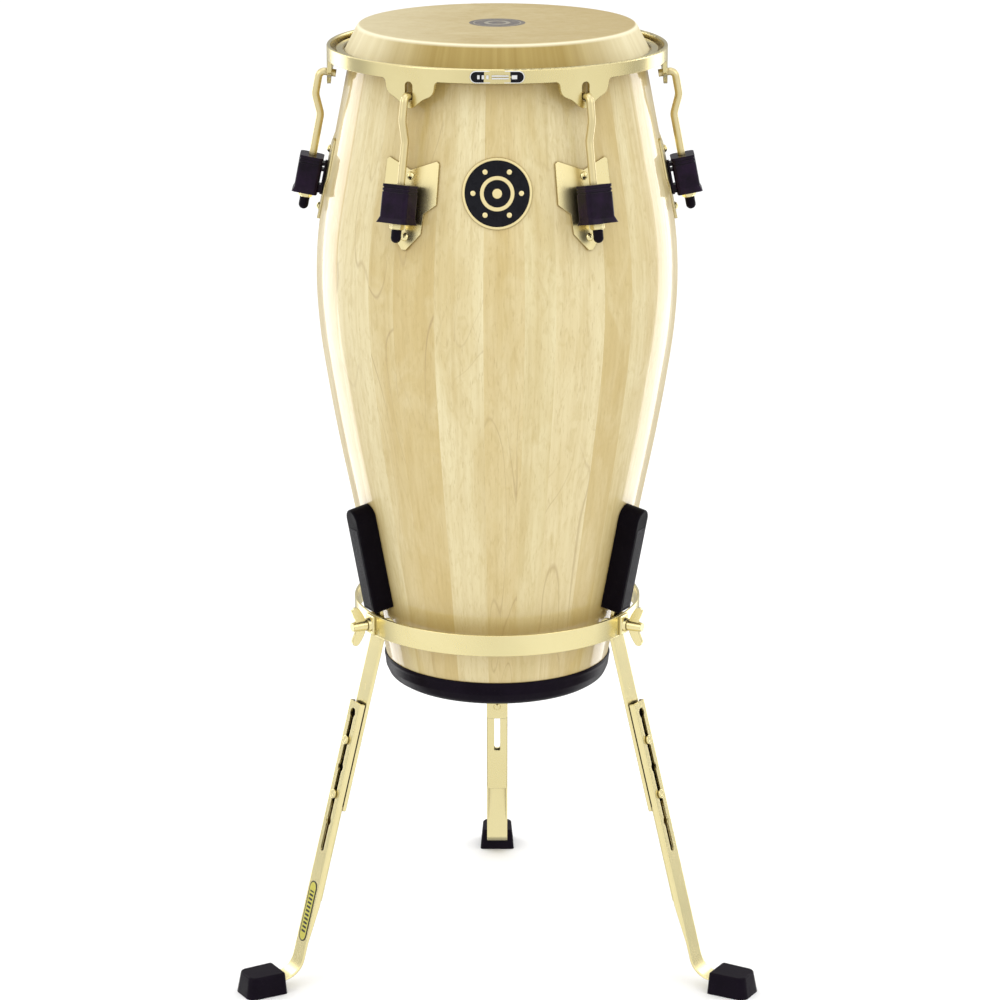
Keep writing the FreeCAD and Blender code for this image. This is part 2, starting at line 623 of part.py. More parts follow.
def clamp_boss():
    """Threaded boss on a saddle outside the ring."""
    outside = Part.makeCylinder(RING_R, 60, Vector(0, 0, PIVOT_Z - 30))
    half, half_height, face = SADDLE_WIDTH / 2, SADDLE_HEIGHT / 2, RING_R + SADDLE_THICKNESS
    saddle = box(RING_R - 3, face, -half, half, PIVOT_Z - half_height, PIVOT_Z + half_height)
    outer = [e for e in saddle.Edges if e.BoundBox.XMin > face - 0.1]
    saddle = saddle.makeChamfer(SADDLE_CHAMFER, outer)
    collar = Part.makeCone(*BOSS_RADII, BOSS_END_R - RING_R, Vector(RING_R, 0, PIVOT_Z), X)
    bore = Part.makeCylinder(SCREW_R + RUNNING_GAP, 60, Vector(RING_R - 30, 0, PIVOT_Z), X)
    return saddle.fuse(collar).cut(outside).cut(bore)


def wing_screw():
    tip = PIVOT_R + BARREL_R + 0.5
    shank = Part.makeCylinder(SCREW_R, BOSS_END_R + 2 - tip, Vector(tip, 0, PIVOT_Z), X)
    hub_start = BOSS_END_R + CLEARANCE
    hub_length = WING_HUB_END_R - hub_start
    hub = Part.makeCone(*WING_HUB_RADII, hub_length, Vector(hub_start, 0, PIVOT_Z), X)
    screw = shank.fuse(hub)
    for side in (-1, 1):
        points = [Vector(hub_start + x, -WING_THICKNESS / 2, PIVOT_Z + side * h)
                  for x, h in WING_CURVE]
        curve = Part.BSplineCurve()
        curve.interpolate(points)
        wing = face_of([curve.toShape(), line(points[-1], points[0])])
        screw = screw.fuse(wing.extrude(Vector(0, WING_THICKNESS, 0)))
    return screw.removeSplitter()


def upper_leg():
    """Flat bar with a hinge barrel, and a narrow tongue that carries the pad."""
    half = LEG_WIDTH / 2
    thick = BAR_THICKNESS / 2
    bar = box(-thick, thick, -half, half, -BAR_LENGTH, 0)
    corners = [e for e in bar.Edges if abs(e.tangentAt(0).x) > 0.9 and e.BoundBox.ZMax < -100]
    bar = bar.makeFillet(BAR_CORNER_R, corners)
    outer = [e for e in bar.Edges if e.BoundBox.XMin > thick - 0.01 and e.BoundBox.ZLength > 0.1]
    bar = bar.makeFillet(BAR_EDGE_R, outer)
    cutters = [Part.makeCylinder(STUD_R, 20, Vector(-10, 0, -seat), X) for seat in STUD_SEATS]
    dimple_x = thick + DIMPLE_R - DIMPLE_DEPTH
    cutters += [Part.makeSphere(DIMPLE_R, Vector(dimple_x, 0, -drop)) for drop in DIMPLE_DROPS]
    bar = place_leg(bar.cut(Part.makeCompound(cutters)))
    barrel = Part.makeCylinder(BARREL_R, LEG_WIDTH, Vector(PIVOT_R, -half, PIVOT_Z), Y)
    tongue = box(-thick, thick, -TONGUE_WIDTH / 2, TONGUE_WIDTH / 2, 0, TONGUE_TOP)
    leg = bar.fuse(barrel).fuse(leaning(tongue, -PAD_TILT, PIVOT_R, PIVOT_Z))
    bore = Part.makeCylinder(PIN_R + RUNNING_GAP, 80, Vector(PIVOT_R, -40, PIVOT_Z), Y)
    return leg.cut(bore)


def shell_pad():
    """Rubber pad with a round top, moulded over the tongue; its inner face follows the shell."""
    half = PAD_WIDTH / 2
    shell_r = SHELL_FOOT[0] + tan(radians(PAD_TILT)) * (PIVOT_Z - SHELL_FOOT[1])
    reach_in = (PIVOT_R - shell_r) * cos(radians(PAD_TILT)) + 2
    reach_out = PAD_DEPTH - (reach_in - 2 - PAD_GAP)
    outline = [line(Vector(0, -half, PAD_BOTTOM), Vector(0, half, PAD_BOTTOM)),
               line(Vector(0, half, PAD_BOTTOM), Vector(0, half, PAD_TOP - half)),
               arc(Vector(0, half, PAD_TOP - half), Vector(0, 0, PAD_TOP),
                   Vector(0, -half, PAD_TOP - half)),
               line(Vector(0, -half, PAD_TOP - half), Vector(0, -half, PAD_BOTTOM))]
    pad = face_of(outline).extrude(Vector(reach_in + reach_out, 0, 0))
    outer = [e for e in pad.Edges if e.BoundBox.XMin > reach_in + reach_out - 0.1]
    pad = pad.makeFillet(PAD_EDGE_R, outer)
    pad.translate(Vector(-reach_in, 0, 0))
    thick = BAR_THICKNESS / 2
    pocket = box(-thick, thick, -TONGUE_WIDTH / 2, TONGUE_WIDTH / 2, 0, TONGUE_TOP)
    pad = leaning(pad.cut(pocket), -PAD_TILT, PIVOT_R, PIVOT_Z)
    return pad.cut(shell_space(PAD_GAP))


def leg_studs():
    """Riveted studs that hook into the lower leg's keyholes."""
    studs = []
    face = BAR_THICKNESS / 2
    web = face + CHANNEL_GAP + CHANNEL_DEPTH
    for seat in STUD_SEATS:
        shank = Part.makeCylinder(STUD_R, web + 1 + face + 0.5, Vector(-face - 0.5, 0, -seat), X)
        rivet = Part.makeCone(*RIVET_RADII, RIVET_HEIGHT, Vector(-face - RIVET_HEIGHT, 0, -seat), X)
        inside = web + STUD_HEAD_GAP
        outside = inside + STUD_HEAD_HEIGHT
        head = Part.makeCylinder(STUD_HEAD_R, STUD_HEAD_HEIGHT, Vector(inside, 0, -seat), X)
        rim = [e for e in head.Edges if e.BoundBox.XMin > outside - 0.1]
        head = head.makeFillet(STUD_HEAD_ROUND, rim)
        dimple = Part.makeSphere(STUD_R, Vector(outside + STUD_HEAD_HEIGHT, 0, -seat))
        studs.append(shank.fuse(rivet).fuse(head).cut(dimple).removeSplitter())
    return studs


def keyhole_cutter():
    """One long slot, widened in three places where the studs' heads go in."""
    depth = 40
    end = KEYHOLES[-1] + KEYHOLE_DROP + SLOT_W / 2
    slot = slot_prism(SLOT_W, -end, -KEYHOLES[0], depth)
    slot.translate(Vector(-10, 0, 0))
    rounds = [Part.makeCylinder(KEYHOLE_R, depth, Vector(-10, 0, -hole), X) for hole in KEYHOLES]
    return slot.multiFuse(rounds)


def channel_edges(leg, half, bend_start):
    """The two long outer edges between the channel's web and its flanges, above the bend."""
    upright = [e for e in leg.Edges if abs(abs(e.CenterOfMass.y) - half) < 0.01
               and e.Length > BAR_LENGTH and e.BoundBox.XMax > bend_start.x - 0.1]
    return [e for e in upright if abs(e.BoundBox.ZMin - bend_start.z) < 0.1]


def lower_leg():
    """Pressed channel with keyholes; its flanges run out before the bend to the foot."""
    half = LEG_WIDTH / 2
    web_out = BAR_THICKNESS / 2 + CHANNEL_GAP + CHANNEL_DEPTH
    web_in = web_out - CHANNEL_WALL
    flange_in = web_out - CHANNEL_DEPTH
    tilt = radians(LEG_TILT)

    def to_stand(x, down):
        return Vector(PIVOT_R + x * cos(tilt) + down * sin(tilt), 0,
                      PIVOT_Z + x * sin(tilt) - down * cos(tilt))

    turn = pi / 2 - tilt
    centre_z = TAIL_TOP_Z + FOOT_BEND_R
    # The bend's start lies on the leg's line where that line is the bend's tangent.
    start_z = centre_z - FOOT_BEND_R * sin(tilt)
    bend_down = (PIVOT_Z + web_out * sin(tilt) - start_z) / cos(tilt)

    def on_bend(radius, angle):
        centre = to_stand(web_out + FOOT_BEND_R, bend_down)
        return Vector(centre.x - radius * cos(angle), 0, centre.z - radius * sin(angle))

    outer_r, inner_r = FOOT_BEND_R, FOOT_BEND_R + CHANNEL_WALL
    first, last = tilt, tilt + turn
    middle = (first + last) / 2
    start_out, start_in = on_bend(outer_r, first), on_bend(inner_r, first)
    end_out, end_in = on_bend(outer_r, last), on_bend(inner_r, last)
    tail_out = Vector(TAIL_END_R, 0, end_out.z)
    tail_in = Vector(TAIL_END_R, 0, end_in.z)
    top_out, top_in = to_stand(web_out, CHANNEL_TOP), to_stand(web_in, CHANNEL_TOP)
    web = face_of([line(top_out, start_out), arc(start_out, on_bend(outer_r, middle), end_out),
                   line(end_out, tail_out), line(tail_out, tail_in), line(tail_in, end_in),
                   arc(end_in, on_bend(inner_r, middle), start_in), line(start_in, top_in),
                   line(top_in, top_out)]).extrude(Vector(0, LEG_WIDTH, 0))
    web.translate(Vector(0, -half, 0))
    flange = polygon_face([to_stand(web_out, CHANNEL_TOP), to_stand(flange_in, CHANNEL_TOP),
                           to_stand(flange_in, FLANGE_TAPER_START),
                           to_stand(web_in, FLANGE_TAPER_END), to_stand(web_out, FLANGE_TAPER_END)])
    flange = flange.extrude(Vector(0, CHANNEL_WALL, 0))
    near, far = flange.copy(), flange.copy()
    near.translate(Vector(0, -half, 0))
    far.translate(Vector(0, half - CHANNEL_WALL, 0))
    leg = web.fuse(near).fuse(far).removeSplitter()
    leg = leg.makeFillet(CHANNEL_EDGE_R, channel_edges(leg, half, start_out))
    return leg.cut(place_leg(keyhole_cutter()))


def rubber_foot():
    """Tapered rubber foot over the leg's tail."""
    low_wire = Part.makePolygon([Vector(x, y, 0) for x, y in FOOT_LOW + FOOT_LOW[:1]])
    high_wire = Part.makePolygon([Vector(x, y, FOOT_HEIGHT) for x, y in FOOT_HIGH + FOOT_HIGH[:1]])
    foot = Part.makeLoft([low_wire, high_wire], True)
    middle_x = (FOOT_LOW[0][0] + FOOT_LOW[1][0]) / 2
    upright = [e for e in foot.Edges if e.BoundBox.ZLength > FOOT_HEIGHT / 2]
    foot = foot.makeFillet(FOOT_INNER_R, [e for e in upright if e.CenterOfMass.x < middle_x])
    upright = [e for e in foot.Edges if e.BoundBox.ZLength > FOOT_HEIGHT / 2]
    foot = foot.makeFillet(FOOT_OUTER_R, [e for e in upright if e.BoundBox.XMin > FOOT_HIGH[1][0] - 1])
    top = [e for e in foot.Edges if e.BoundBox.ZMin > FOOT_HEIGHT - 0.1]
    foot = foot.makeFillet(FOOT_TOP_R, top)
    return foot.cut(lower_leg())


def leg_label():
    """Thin pill shaped sticker on the outside of the left leg."""
    web_out = BAR_THICKNESS / 2 + CHANNEL_GAP + CHANNEL_DEPTH
    pill = slot_prism(LABEL_WIDTH, -LABEL_END, -LABEL_START, LABEL_THICKNESS)
    pill.translate(Vector(web_out, 0, 0))
    return place_leg(pill)


# ---- Assembly -----------------------------------------------------------------------------
def build_drum():
    write("shell", [make_shell()])
    write("bottom_rubber_ring", [make_bottom_ring()])
    write("drum_head", [make_head()])
    write("flesh_hoop", [make_flesh_hoop()])
    write("shell_badge", [make_shell_badge()])
    write("tuning_rim", [make_rim()])
    write("rim_badge", [make_rim_badge()])
    write("side_plates", make_side_plates())
    bracket, screws = lug_bracket(), lug_screws()
    washers, nuts = inner_fixings()
    write("lug_brackets", [place_lug(bracket, a) for a in LUG_AZIMUTHS])
    write("lug_screws", [place_lug(s, a) for a in LUG_AZIMUTHS for s in screws])
    write("lug_screw_washers", [place_lug(w, a) for a in LUG_AZIMUTHS for w in washers])
    write("lug_screw_nuts", [place_lug(n, a) for a in LUG_AZIMUTHS for n in nuts])
    hook, nut, cap = tuning_hook(), lug_nut(), end_cap()
    for number, azimuth in enumerate(LUG_AZIMUTHS, 1):
        write("tuning_hook_%d" % number, [at_azimuth(hook, azimuth)])
        write("lug_nut_%d" % number, [place_lug(nut, azimuth)])
        write("end_cap_%d" % number, [place_lug(cap, azimuth)])


def build_stand():
    azimuths = LEG_NAMES.values()
    write("stand_ring", [make_ring()])
    write("hinge_cheeks", [at_azimuth(c, a) for a in azimuths for c in bracket_cheeks()])
    write("hinge_pins", [at_azimuth(hinge_pin(), a) for a in azimuths])
    write("clamp_bosses", [at_azimuth(clamp_boss(), a) for a in azimuths])
    for name, azimuth in LEG_NAMES.items():
        write("wing_screw_" + name, [at_azimuth(wing_screw(), azimuth)])
        write("upper_leg_" + name, [at_azimuth(upper_leg(), azimuth)])
        write("shell_pad_" + name, [at_azimuth(shell_pad(), azimuth)])
        write("leg_studs_" + name, [at_azimuth(place_leg(s), azimuth) for s in leg_studs()])
        write("lower_leg_" + name, [at_azimuth(lower_leg(), azimuth)])
        write("rubber_foot_" + name, [at_azimuth(rubber_foot(), azimuth)])
    write("leg_label", [at_azimuth(leg_label(), LEG_NAMES["left"])])


os.makedirs("parts", exist_ok=True)
build_drum()
build_stand()
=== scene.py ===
import json
import random
from math import atan2, cos, pi, radians, sin, sqrt, tan

import bmesh
import bpy
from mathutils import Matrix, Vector


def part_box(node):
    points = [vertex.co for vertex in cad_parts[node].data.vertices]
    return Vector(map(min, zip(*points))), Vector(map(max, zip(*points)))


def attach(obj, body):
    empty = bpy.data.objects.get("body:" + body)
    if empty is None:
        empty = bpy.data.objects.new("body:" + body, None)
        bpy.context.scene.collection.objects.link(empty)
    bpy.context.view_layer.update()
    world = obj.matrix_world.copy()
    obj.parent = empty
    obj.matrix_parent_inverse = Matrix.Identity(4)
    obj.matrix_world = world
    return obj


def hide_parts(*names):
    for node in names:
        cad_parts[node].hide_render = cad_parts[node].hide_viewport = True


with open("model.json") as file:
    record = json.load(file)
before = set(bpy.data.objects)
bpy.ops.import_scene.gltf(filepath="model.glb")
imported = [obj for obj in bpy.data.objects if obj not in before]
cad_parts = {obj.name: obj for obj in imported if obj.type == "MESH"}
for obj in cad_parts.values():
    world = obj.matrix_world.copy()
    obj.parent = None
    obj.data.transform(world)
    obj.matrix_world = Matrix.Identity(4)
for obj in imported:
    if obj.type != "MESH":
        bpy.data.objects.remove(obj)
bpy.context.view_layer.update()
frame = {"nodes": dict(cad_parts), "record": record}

MM = 0.001

# ---- Places and sizes, from the frame -------------------------------------------------------
head_low, head_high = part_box("drum_head")
AXIS_Y = (head_low.y + head_high.y) / 2
HEAD_TOP = head_high.z
BEARING_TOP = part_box("shell")[1].z
RIM_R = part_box("tuning_rim")[1].x
ring_low, ring_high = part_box("stand_ring")
badge_low, badge_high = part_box("shell_badge")
BADGE_R = badge_high.x
BADGE_Z = (badge_low.z + badge_high.z) / 2
rim_badge_low, rim_badge_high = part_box("rim_badge")

LUG_AZIMUTHS = [-150, -90, -30, 30, 90, 150]
LEG_AZIMUTHS = {"left": -60, "right": 60, "back": 180}
LABEL_R = 7.5 * MM           # of the sticker's round ends

# Outer line of the shell as height and radius: two cones with the belly between them.
SHELL_LINE = [(322.0, 117.3), (520.0, 156.4), (590.0, 170.4), (650.0, 180.8), (705.0, 188.6),
              (760.0, 191.9), (805.0, 190.0), (850.0, 183.6), (880.0, 177.5), (1012.0, 151.3)]
SHELL_WALL = 12.0 * MM
SHELL_ROWS = 72
ROUND_STEPS = 256            # of the large turned pieces
BEARING_EDGE = [(146.8 * MM, 1025.0 * MM, 0.006), (141.5 * MM, BEARING_TOP, 0.0015),
                (139.3 * MM, SHELL_LINE[-1][0] * MM, 0)]   # radius, height, corner radius

HEAD_FLAT_R = 141.0 * MM
HEAD_ROLL_R = 7.0 * MM
HEAD_SKIN = 2.0 * MM
COLLAR_SLOPE = 0.52          # radius gained per metre of depth
HOOP_R = 161.5 * MM          # centre circle of the flesh hoop
HOOP_Z = 996.5 * MM
RING_WALL = 3 * MM
TUCK_R = 4.7 * MM            # outside of the skin round the flesh hoop
TUCK_TURN = (62, -21)        # where the tuck starts round the hoop and its step, in degrees
COLLAR_END = 3.4 * MM        # above the hoop's centre circle
HEAD_STEPS = {"face": 12, "roll": 10, "collar": 14, "tuck": 16}


# ---- Shader helpers ---------------------------------------------------------------------------
class Nodes:
    """Short calls that add nodes to a tree."""

    def __init__(self, tree):
        self.tree = tree

    def plug(self, socket, value):
        if isinstance(value, bpy.types.NodeSocket):
            self.tree.links.new(value, socket)
        elif socket.type == "RGBA" and len(value) == 3:
            socket.default_value = (*value, 1.0)
        else:
            socket.default_value = value

    def node(self, kind, inputs=None, **settings):
        made = self.tree.nodes.new("ShaderNode" + kind)
        for name, value in settings.items():
            setattr(made, name, value)
        for name, value in (inputs or {}).items():
            self.plug(made.inputs[name], value)
        return made

    def math(self, operation, first, second=0.0, third=0.0):
        inputs = {0: first, 1: second, 2: third}
        return self.node("Math", inputs, operation=operation).outputs[0]

    def scaled(self, vector, factors):
        inputs = {0: vector, 1: factors}
        return self.node("VectorMath", inputs, operation="MULTIPLY").outputs[0]

    def joined(self, x, y, z):
        return self.node("CombineXYZ", {0: x, 1: y, 2: z}).outputs[0]

    def split(self, vector):
        return self.node("SeparateXYZ", {0: vector}).outputs

    def times(self, first, second):
        return self.math("MULTIPLY", first, second)

    def noise(self, vector, scale, detail=2.0, roughness=0.5, distortion=0.0):
        inputs = {"Vector": vector, "Scale": scale, "Detail": detail, "Roughness": roughness,
                  "Distortion": distortion}
        return self.node("TexNoise", inputs).outputs[0]

    def grain(self, vector, factors, detail=2.0, roughness=0.5, distortion=0.0):
        """Noise that is finer along some directions than along others."""
        return self.noise(self.scaled(vector, factors), 1.0, detail, roughness, distortion)

    def spread(self, value, low, high, to_low=0.0, to_high=1.0):
        """Value mapped from low..high to to_low..to_high, and held at both ends."""
        inputs = {"Value": value, "From Min": low, "From Max": high, "To Min": to_low, "To Max": to_high}
        return self.node("MapRange", inputs, clamp=True).outputs[0]

    def mixed(self, factor, first, second):
        made = self.node("Mix", data_type="RGBA")
        self.plug(made.inputs["Factor"], factor)
        self.plug(made.inputs[6], first)
        self.plug(made.inputs[7], second)
        return made.outputs[2]

    def layered(self, colour, layers):
        """Colour with each tint of (mask, tint) laid over the last."""
        for mask, tint in layers:
            colour = self.mixed(mask, colour, tint)
        return colour

    def ramp(self, value, stops, interpolation):
        made = self.node("ValToRGB", {0: value})
        made.color_ramp.interpolation = interpolation
        elements = made.color_ramp.elements
        while len(elements) < len(stops):
            elements.new(1.0)
        for element, (position, colour) in zip(elements, stops):
            element.position = position
            element.color = (*colour, 1.0)
        return made.outputs[0]


class Look(Nodes):
    """One procedural material."""

    def __init__(self, name, **sockets):
        self.material = bpy.data.materials.new(name)
        self.material.use_nodes = True
        super().__init__(self.material.node_tree)
        self.shader = self.tree.nodes["Principled BSDF"]
        for socket, value in sockets.items():
            self.plug(self.shader.inputs[socket.replace("_", " ")], value)
        self.place = self.node("TexCoord").outputs["Object"]

    def bump(self, height, strength, distance, normal=None):
        inputs = {"Height": height, "Strength": strength, "Distance": distance}
        if normal is not None:
            inputs["Normal"] = normal
        return self.node("Bump", inputs).outputs[0]

    def edges(self, radius):
        """Normal with the edges rounded, and a mask that is 1 on the edges."""
        soft = self.node("Bevel", {"Radius": radius}, samples=6).outputs[0]
        plain = self.node("NewGeometry").outputs["Normal"]
        along = self.node("VectorMath", {0: soft, 1: plain}, operation="DOT_PRODUCT").outputs["Value"]
        return soft, self.spread(along, 0.995, 0.86)

    def creases(self, reach, most, low=0.30, high=0.80):
        """Mask of painted shade that grows to most in corners and gaps."""
        open_sky = self.node("AmbientOcclusion", {"Distance": reach}, samples=6).outputs["AO"]
        return self.spread(open_sky, high, low, 0.0, most)

    def finish(self, colour=None, roughness=None, normal=None):
        for socket, value in (("Base Color", colour), ("Roughness", roughness), ("Normal", normal)):
            if value is not None:
                self.plug(self.shader.inputs[socket], value)
        coat = self.shader.inputs["Coat Weight"]
        if normal is not None and (coat.is_linked or coat.default_value > 0):
            self.plug(self.shader.inputs["Coat Normal"], normal)
        return self.material


# ---- Materials --------------------------------------------------------------------------------
# Angle from the front, tone and warmth of the staves that the photograph shows.
STAVES_FRONT = [(-44.0, 0.50, 0.45), (-34.0, 0.22, 0.70), (-20.6, 0.88, 0.25), (-5.4, 0.45, 0.62),
                (7.3, 0.62, 0.05), (17.2, 0.80, 0.40), (34.6, 0.18, 0.55), (46.0, 0.66, 0.30)]
STAVES_HIDDEN_FROM = 58.0
STAVE_SHIFT = 37.0           # sets one stave's grain apart from the next
GRAIN_R = 0.165              # turns an angle into a width across the grain
# In WOOD, shaded is a broad painted shade and outline a thin painted contact shadow, both round the
# hardware.
WOOD = {"pale": (0.765, 0.695, 0.435), "pale_warm": (0.72, 0.60, 0.335),
        "deep": (0.565, 0.455, 0.195), "deep_warm": (0.535, 0.395, 0.15),
        "bands": (0.51, 0.375, 0.13), "cloud": (0.76, 0.68, 0.42), "streaks": (0.42, 0.29, 0.095),
        "curl": (0.44, 0.32, 0.105), "pores": (0.34, 0.22, 0.07), "rings": (0.32, 0.21, 0.09),
        "low": (0.50, 0.365, 0.13), "shaded": (0.40, 0.275, 0.07), "outline": (0.16, 0.10, 0.025)}
# In HIDE, right and left are painted shade and light across the face, crest a painted highlight along the
# top of the roll, front and sides the collar's painted shade and light.
HIDE = {"tan": (0.46, 0.365, 0.180), "pale": (0.56, 0.475, 0.270), "mottle": (0.38, 0.28, 0.12),
        "veins": (0.31, 0.22, 0.09), "right": (0.43, 0.33, 0.145), "left": (0.61, 0.54, 0.345),
        "crest": (0.86, 0.80, 0.58), "tuck": (0.80, 0.73, 0.52),
        "sides": ((0.66, 0.57, 0.33), (0.76, 0.68, 0.44)),
        "front": ((0.35, 0.245, 0.07), (0.43, 0.32, 0.105)),
        "ink": (0.085, 0.085, 0.11), "bare": (0.34, 0.33, 0.28)}
# In GOLD, edges is painted shade along the edges and grime painted shade in corners and gaps.
GOLD = {"edges": (0.27, 0.18, 0.05), "crease_shade": (0.13, 0.08, 0.02), "spots": (0.55, 0.40, 0.16)}


def stave_stops():
    """Colour ramp stops round the shell: tone, warmth and a grain offset of each stave."""
    draw = random.Random(11)
    edges = list(STAVES_FRONT)
    angle = STAVES_HIDDEN_FROM
    while angle < 360 + STAVES_FRONT[0][0] - 8.0:
        edges.append((angle, draw.uniform(0.15, 0.9), draw.uniform(0.0, 0.8)))
        angle += draw.uniform(10.5, 16.5)
    edges = sorted(((a + 180) % 360, tone, warmth) for a, tone, warmth in edges)
    stops = [(a / 360, (tone, warmth, draw.random())) for a, tone, warmth in edges]
    return [(0.0, stops[-1][1])] + stops


def ring_lines(look, here):
    """Mask of the growth rings that a few stretches of the wood show."""
    figure = look.grain(here, (17.0, 1.0, 3.1), 1.5, 0.4, 0.6)
    line = look.spread(look.math("PINGPONG", look.times(figure, 9.0), 0.5), 0.045, 0.0)
    return look.times(line, look.spread(look.grain(here, (5.0, 1.0, 2.0), 1.0), 0.53, 0.64))


def wood_layers(look, here, z, streaks):
    """Masks and tints over a stave's own colour, from broad bands to painted shade and a painted contact
    shadow at the hardware.
    """
    bands = look.grain(here, (34.0, 1.0, 3.4), 4.0, 0.58, 0.5)
    cloud = look.grain(here, (30.0, 1.0, 11.0), 4.0, 0.6, 0.9)
    curl = look.grain(here, (150.0, 1.0, 42.0), 3.0, 0.6, 1.2)
    pores = look.spread(look.grain(here, (900.0, 1.0, 95.0)), 0.60, 0.72)
    return [(look.spread(bands, 0.40, 0.70, 0.0, 0.62), WOOD["bands"]),
            (look.spread(cloud, 0.45, 0.72, 0.0, 0.42), WOOD["cloud"]),
            (look.spread(streaks, 0.45, 0.78, 0.0, 0.30), WOOD["streaks"]),
            (look.spread(curl, 0.50, 0.74, 0.0, 0.34), WOOD["curl"]),
            (look.times(pores, 0.30), WOOD["pores"]),
            (look.times(ring_lines(look, here), 0.5), WOOD["rings"]),
            (look.spread(z, 0.75, 0.40, 0.0, 0.25), WOOD["low"]),
            # painted shade round the hardware, then a thin painted contact shadow at its edges
            (look.creases(0.05, 0.75, 0.35, 0.97), WOOD["shaded"]),
            (look.creases(0.005, 0.8, 0.45, 0.85), WOOD["outline"])]


def shell_wood():
    """Clear lacquer over pale staves, with grain, figure and pores that run up each stave."""
    look = Look("shell_wood", Coat_Weight=0.85, Coat_Roughness=0.045, Coat_IOR=1.5, IOR=1.45,
                Specular_IOR_Level=0.2)
    x, y, z = look.split(look.place)
    angle = look.math("ARCTAN2", x, look.times(y, -1.0))
    stave = look.ramp(look.math("MULTIPLY_ADD", angle, 1 / (2 * pi), 0.5), stave_stops(), "CONSTANT")
    tone, warmth, offset = look.node("SeparateColor", {0: stave}).outputs
    here = look.joined(look.times(angle, GRAIN_R), look.times(offset, STAVE_SHIFT), z)
    streaks = look.grain(here, (300.0, 1.0, 6.0), 5.0, 0.62)
    light = look.mixed(warmth, WOOD["pale"], WOOD["pale_warm"])
    dark = look.mixed(warmth, WOOD["deep"], WOOD["deep_warm"])
    colour = look.layered(look.mixed(tone, dark, light), wood_layers(look, here, z, streaks))
    facing = look.node("LayerWeight", {0: 0.5}).outputs["Facing"]
    look.plug(look.shader.inputs["Coat Weight"], look.spread(facing, 0.76, 0.93, 0.85, 0.2))
    ripple = look.grain(look.place, (9.0, 9.0, 3.0))
    height = look.math("MULTIPLY_ADD", streaks, 0.05, ripple)
    return look.finish(colour, look.spread(streaks, 0.3, 0.8, 0.34, 0.52), look.bump(height, 0.12, 0.0006))


def collar_tone(look, x, y):
    """Streaked tones of the collar: darker in front from painted shade, paler at the sides from painted
    light.
    """
    stripes = look.noise(look.joined(look.math("ARCTAN2", x, y), 0.0, 0.0), 9.0, 3.0, 0.7)
    front = look.math("COSINE", look.math("ARCTAN2", x, look.times(y, -1.0)))
    # painted light at the sides, painted shade in front
    tones = [look.mixed(look.spread(stripes, 0.35, 0.65), *HIDE[place]) for place in ("sides", "front")]
    return look.mixed(look.spread(front, 0.55, 0.90), *tones)


def round_print(look, x, y):
    """Mask and tone of the rubbed round print, with a ring near its edge and one in its middle."""
    far = look.math("SQRT", look.math("ADD", look.math("POWER", x, 2.0), look.math("POWER", y, 2.0)))
    disc = look.spread(far, 0.0297, 0.0292)
    ink = look.spread(look.noise(look.place, 260.0, 4.0, 0.7), 0.30, 0.62, 0.70, 1.0)
    marks = look.math("MAXIMUM", look.math("COMPARE", far, 0.0245, 0.0006),
                      look.math("COMPARE", far, 0.0115, 0.0022))
    tone = look.mixed(look.times(marks, 0.8), HIDE["ink"], HIDE["bare"])
    return look.times(disc, look.times(ink, 0.92)), tone


def head_hide():
    """Matt tan hide with veins and pores, painted light to the left and painted shade to the right, a
    painted highlight along the top of the roll, a streaked collar and a round print.
    """
    look = Look("head_hide", IOR=1.42, Specular_IOR_Level=0.3)
    x, y, z = look.split(look.place)
    clouds = look.grain(look.place, (11.0, 16.0, 20.0), 5.0, 0.6, 0.6)
    mottle = look.noise(look.place, 90.0, 4.0, 0.65)
    veins = look.grain(look.place, (15.0, 22.0, 15.0), 3.0, 0.5, 1.6)
    vein = look.spread(look.math("PINGPONG", look.times(veins, 6.0), 0.5), 0.05, 0.0)
    pores = look.spread(look.noise(look.place, 1500.0, 1.0), 0.60, 0.74)

    def below(start, end):
        return look.spread(z, HEAD_TOP - start, HEAD_TOP - end)

    colour = look.mixed(look.spread(clouds, 0.35, 0.70), HIDE["tan"], HIDE["pale"])
    colour = look.layered(colour, [(look.spread(mottle, 0.45, 0.75, 0.0, 0.30), HIDE["mottle"]),
                                   (look.times(vein, 0.22), HIDE["veins"]),
                                   # painted shade towards the right of the face, painted light towards the
                                   # left
                                   (look.spread(x, -0.15, 0.15, 0.0, 0.75), HIDE["right"]),
                                   (look.spread(x, -0.02, -0.14, 0.0, 0.60), HIDE["left"]),
                                   # painted highlight along the top of the roll
                                   (look.times(below(0.0004, 0.0014), 0.9), HIDE["crest"]),
                                   (below(0.0020, 0.0045), collar_tone(look, x, y)),
                                   (look.times(below(0.0305, 0.033), 0.8), HIDE["tuck"]),
                                   round_print(look, x, y)])
    height = look.math("MULTIPLY_ADD", pores, -0.35, mottle)
    return look.finish(colour, look.spread(mottle, 0.3, 0.7, 0.50, 0.66), look.bump(height, 0.22, 0.0005))


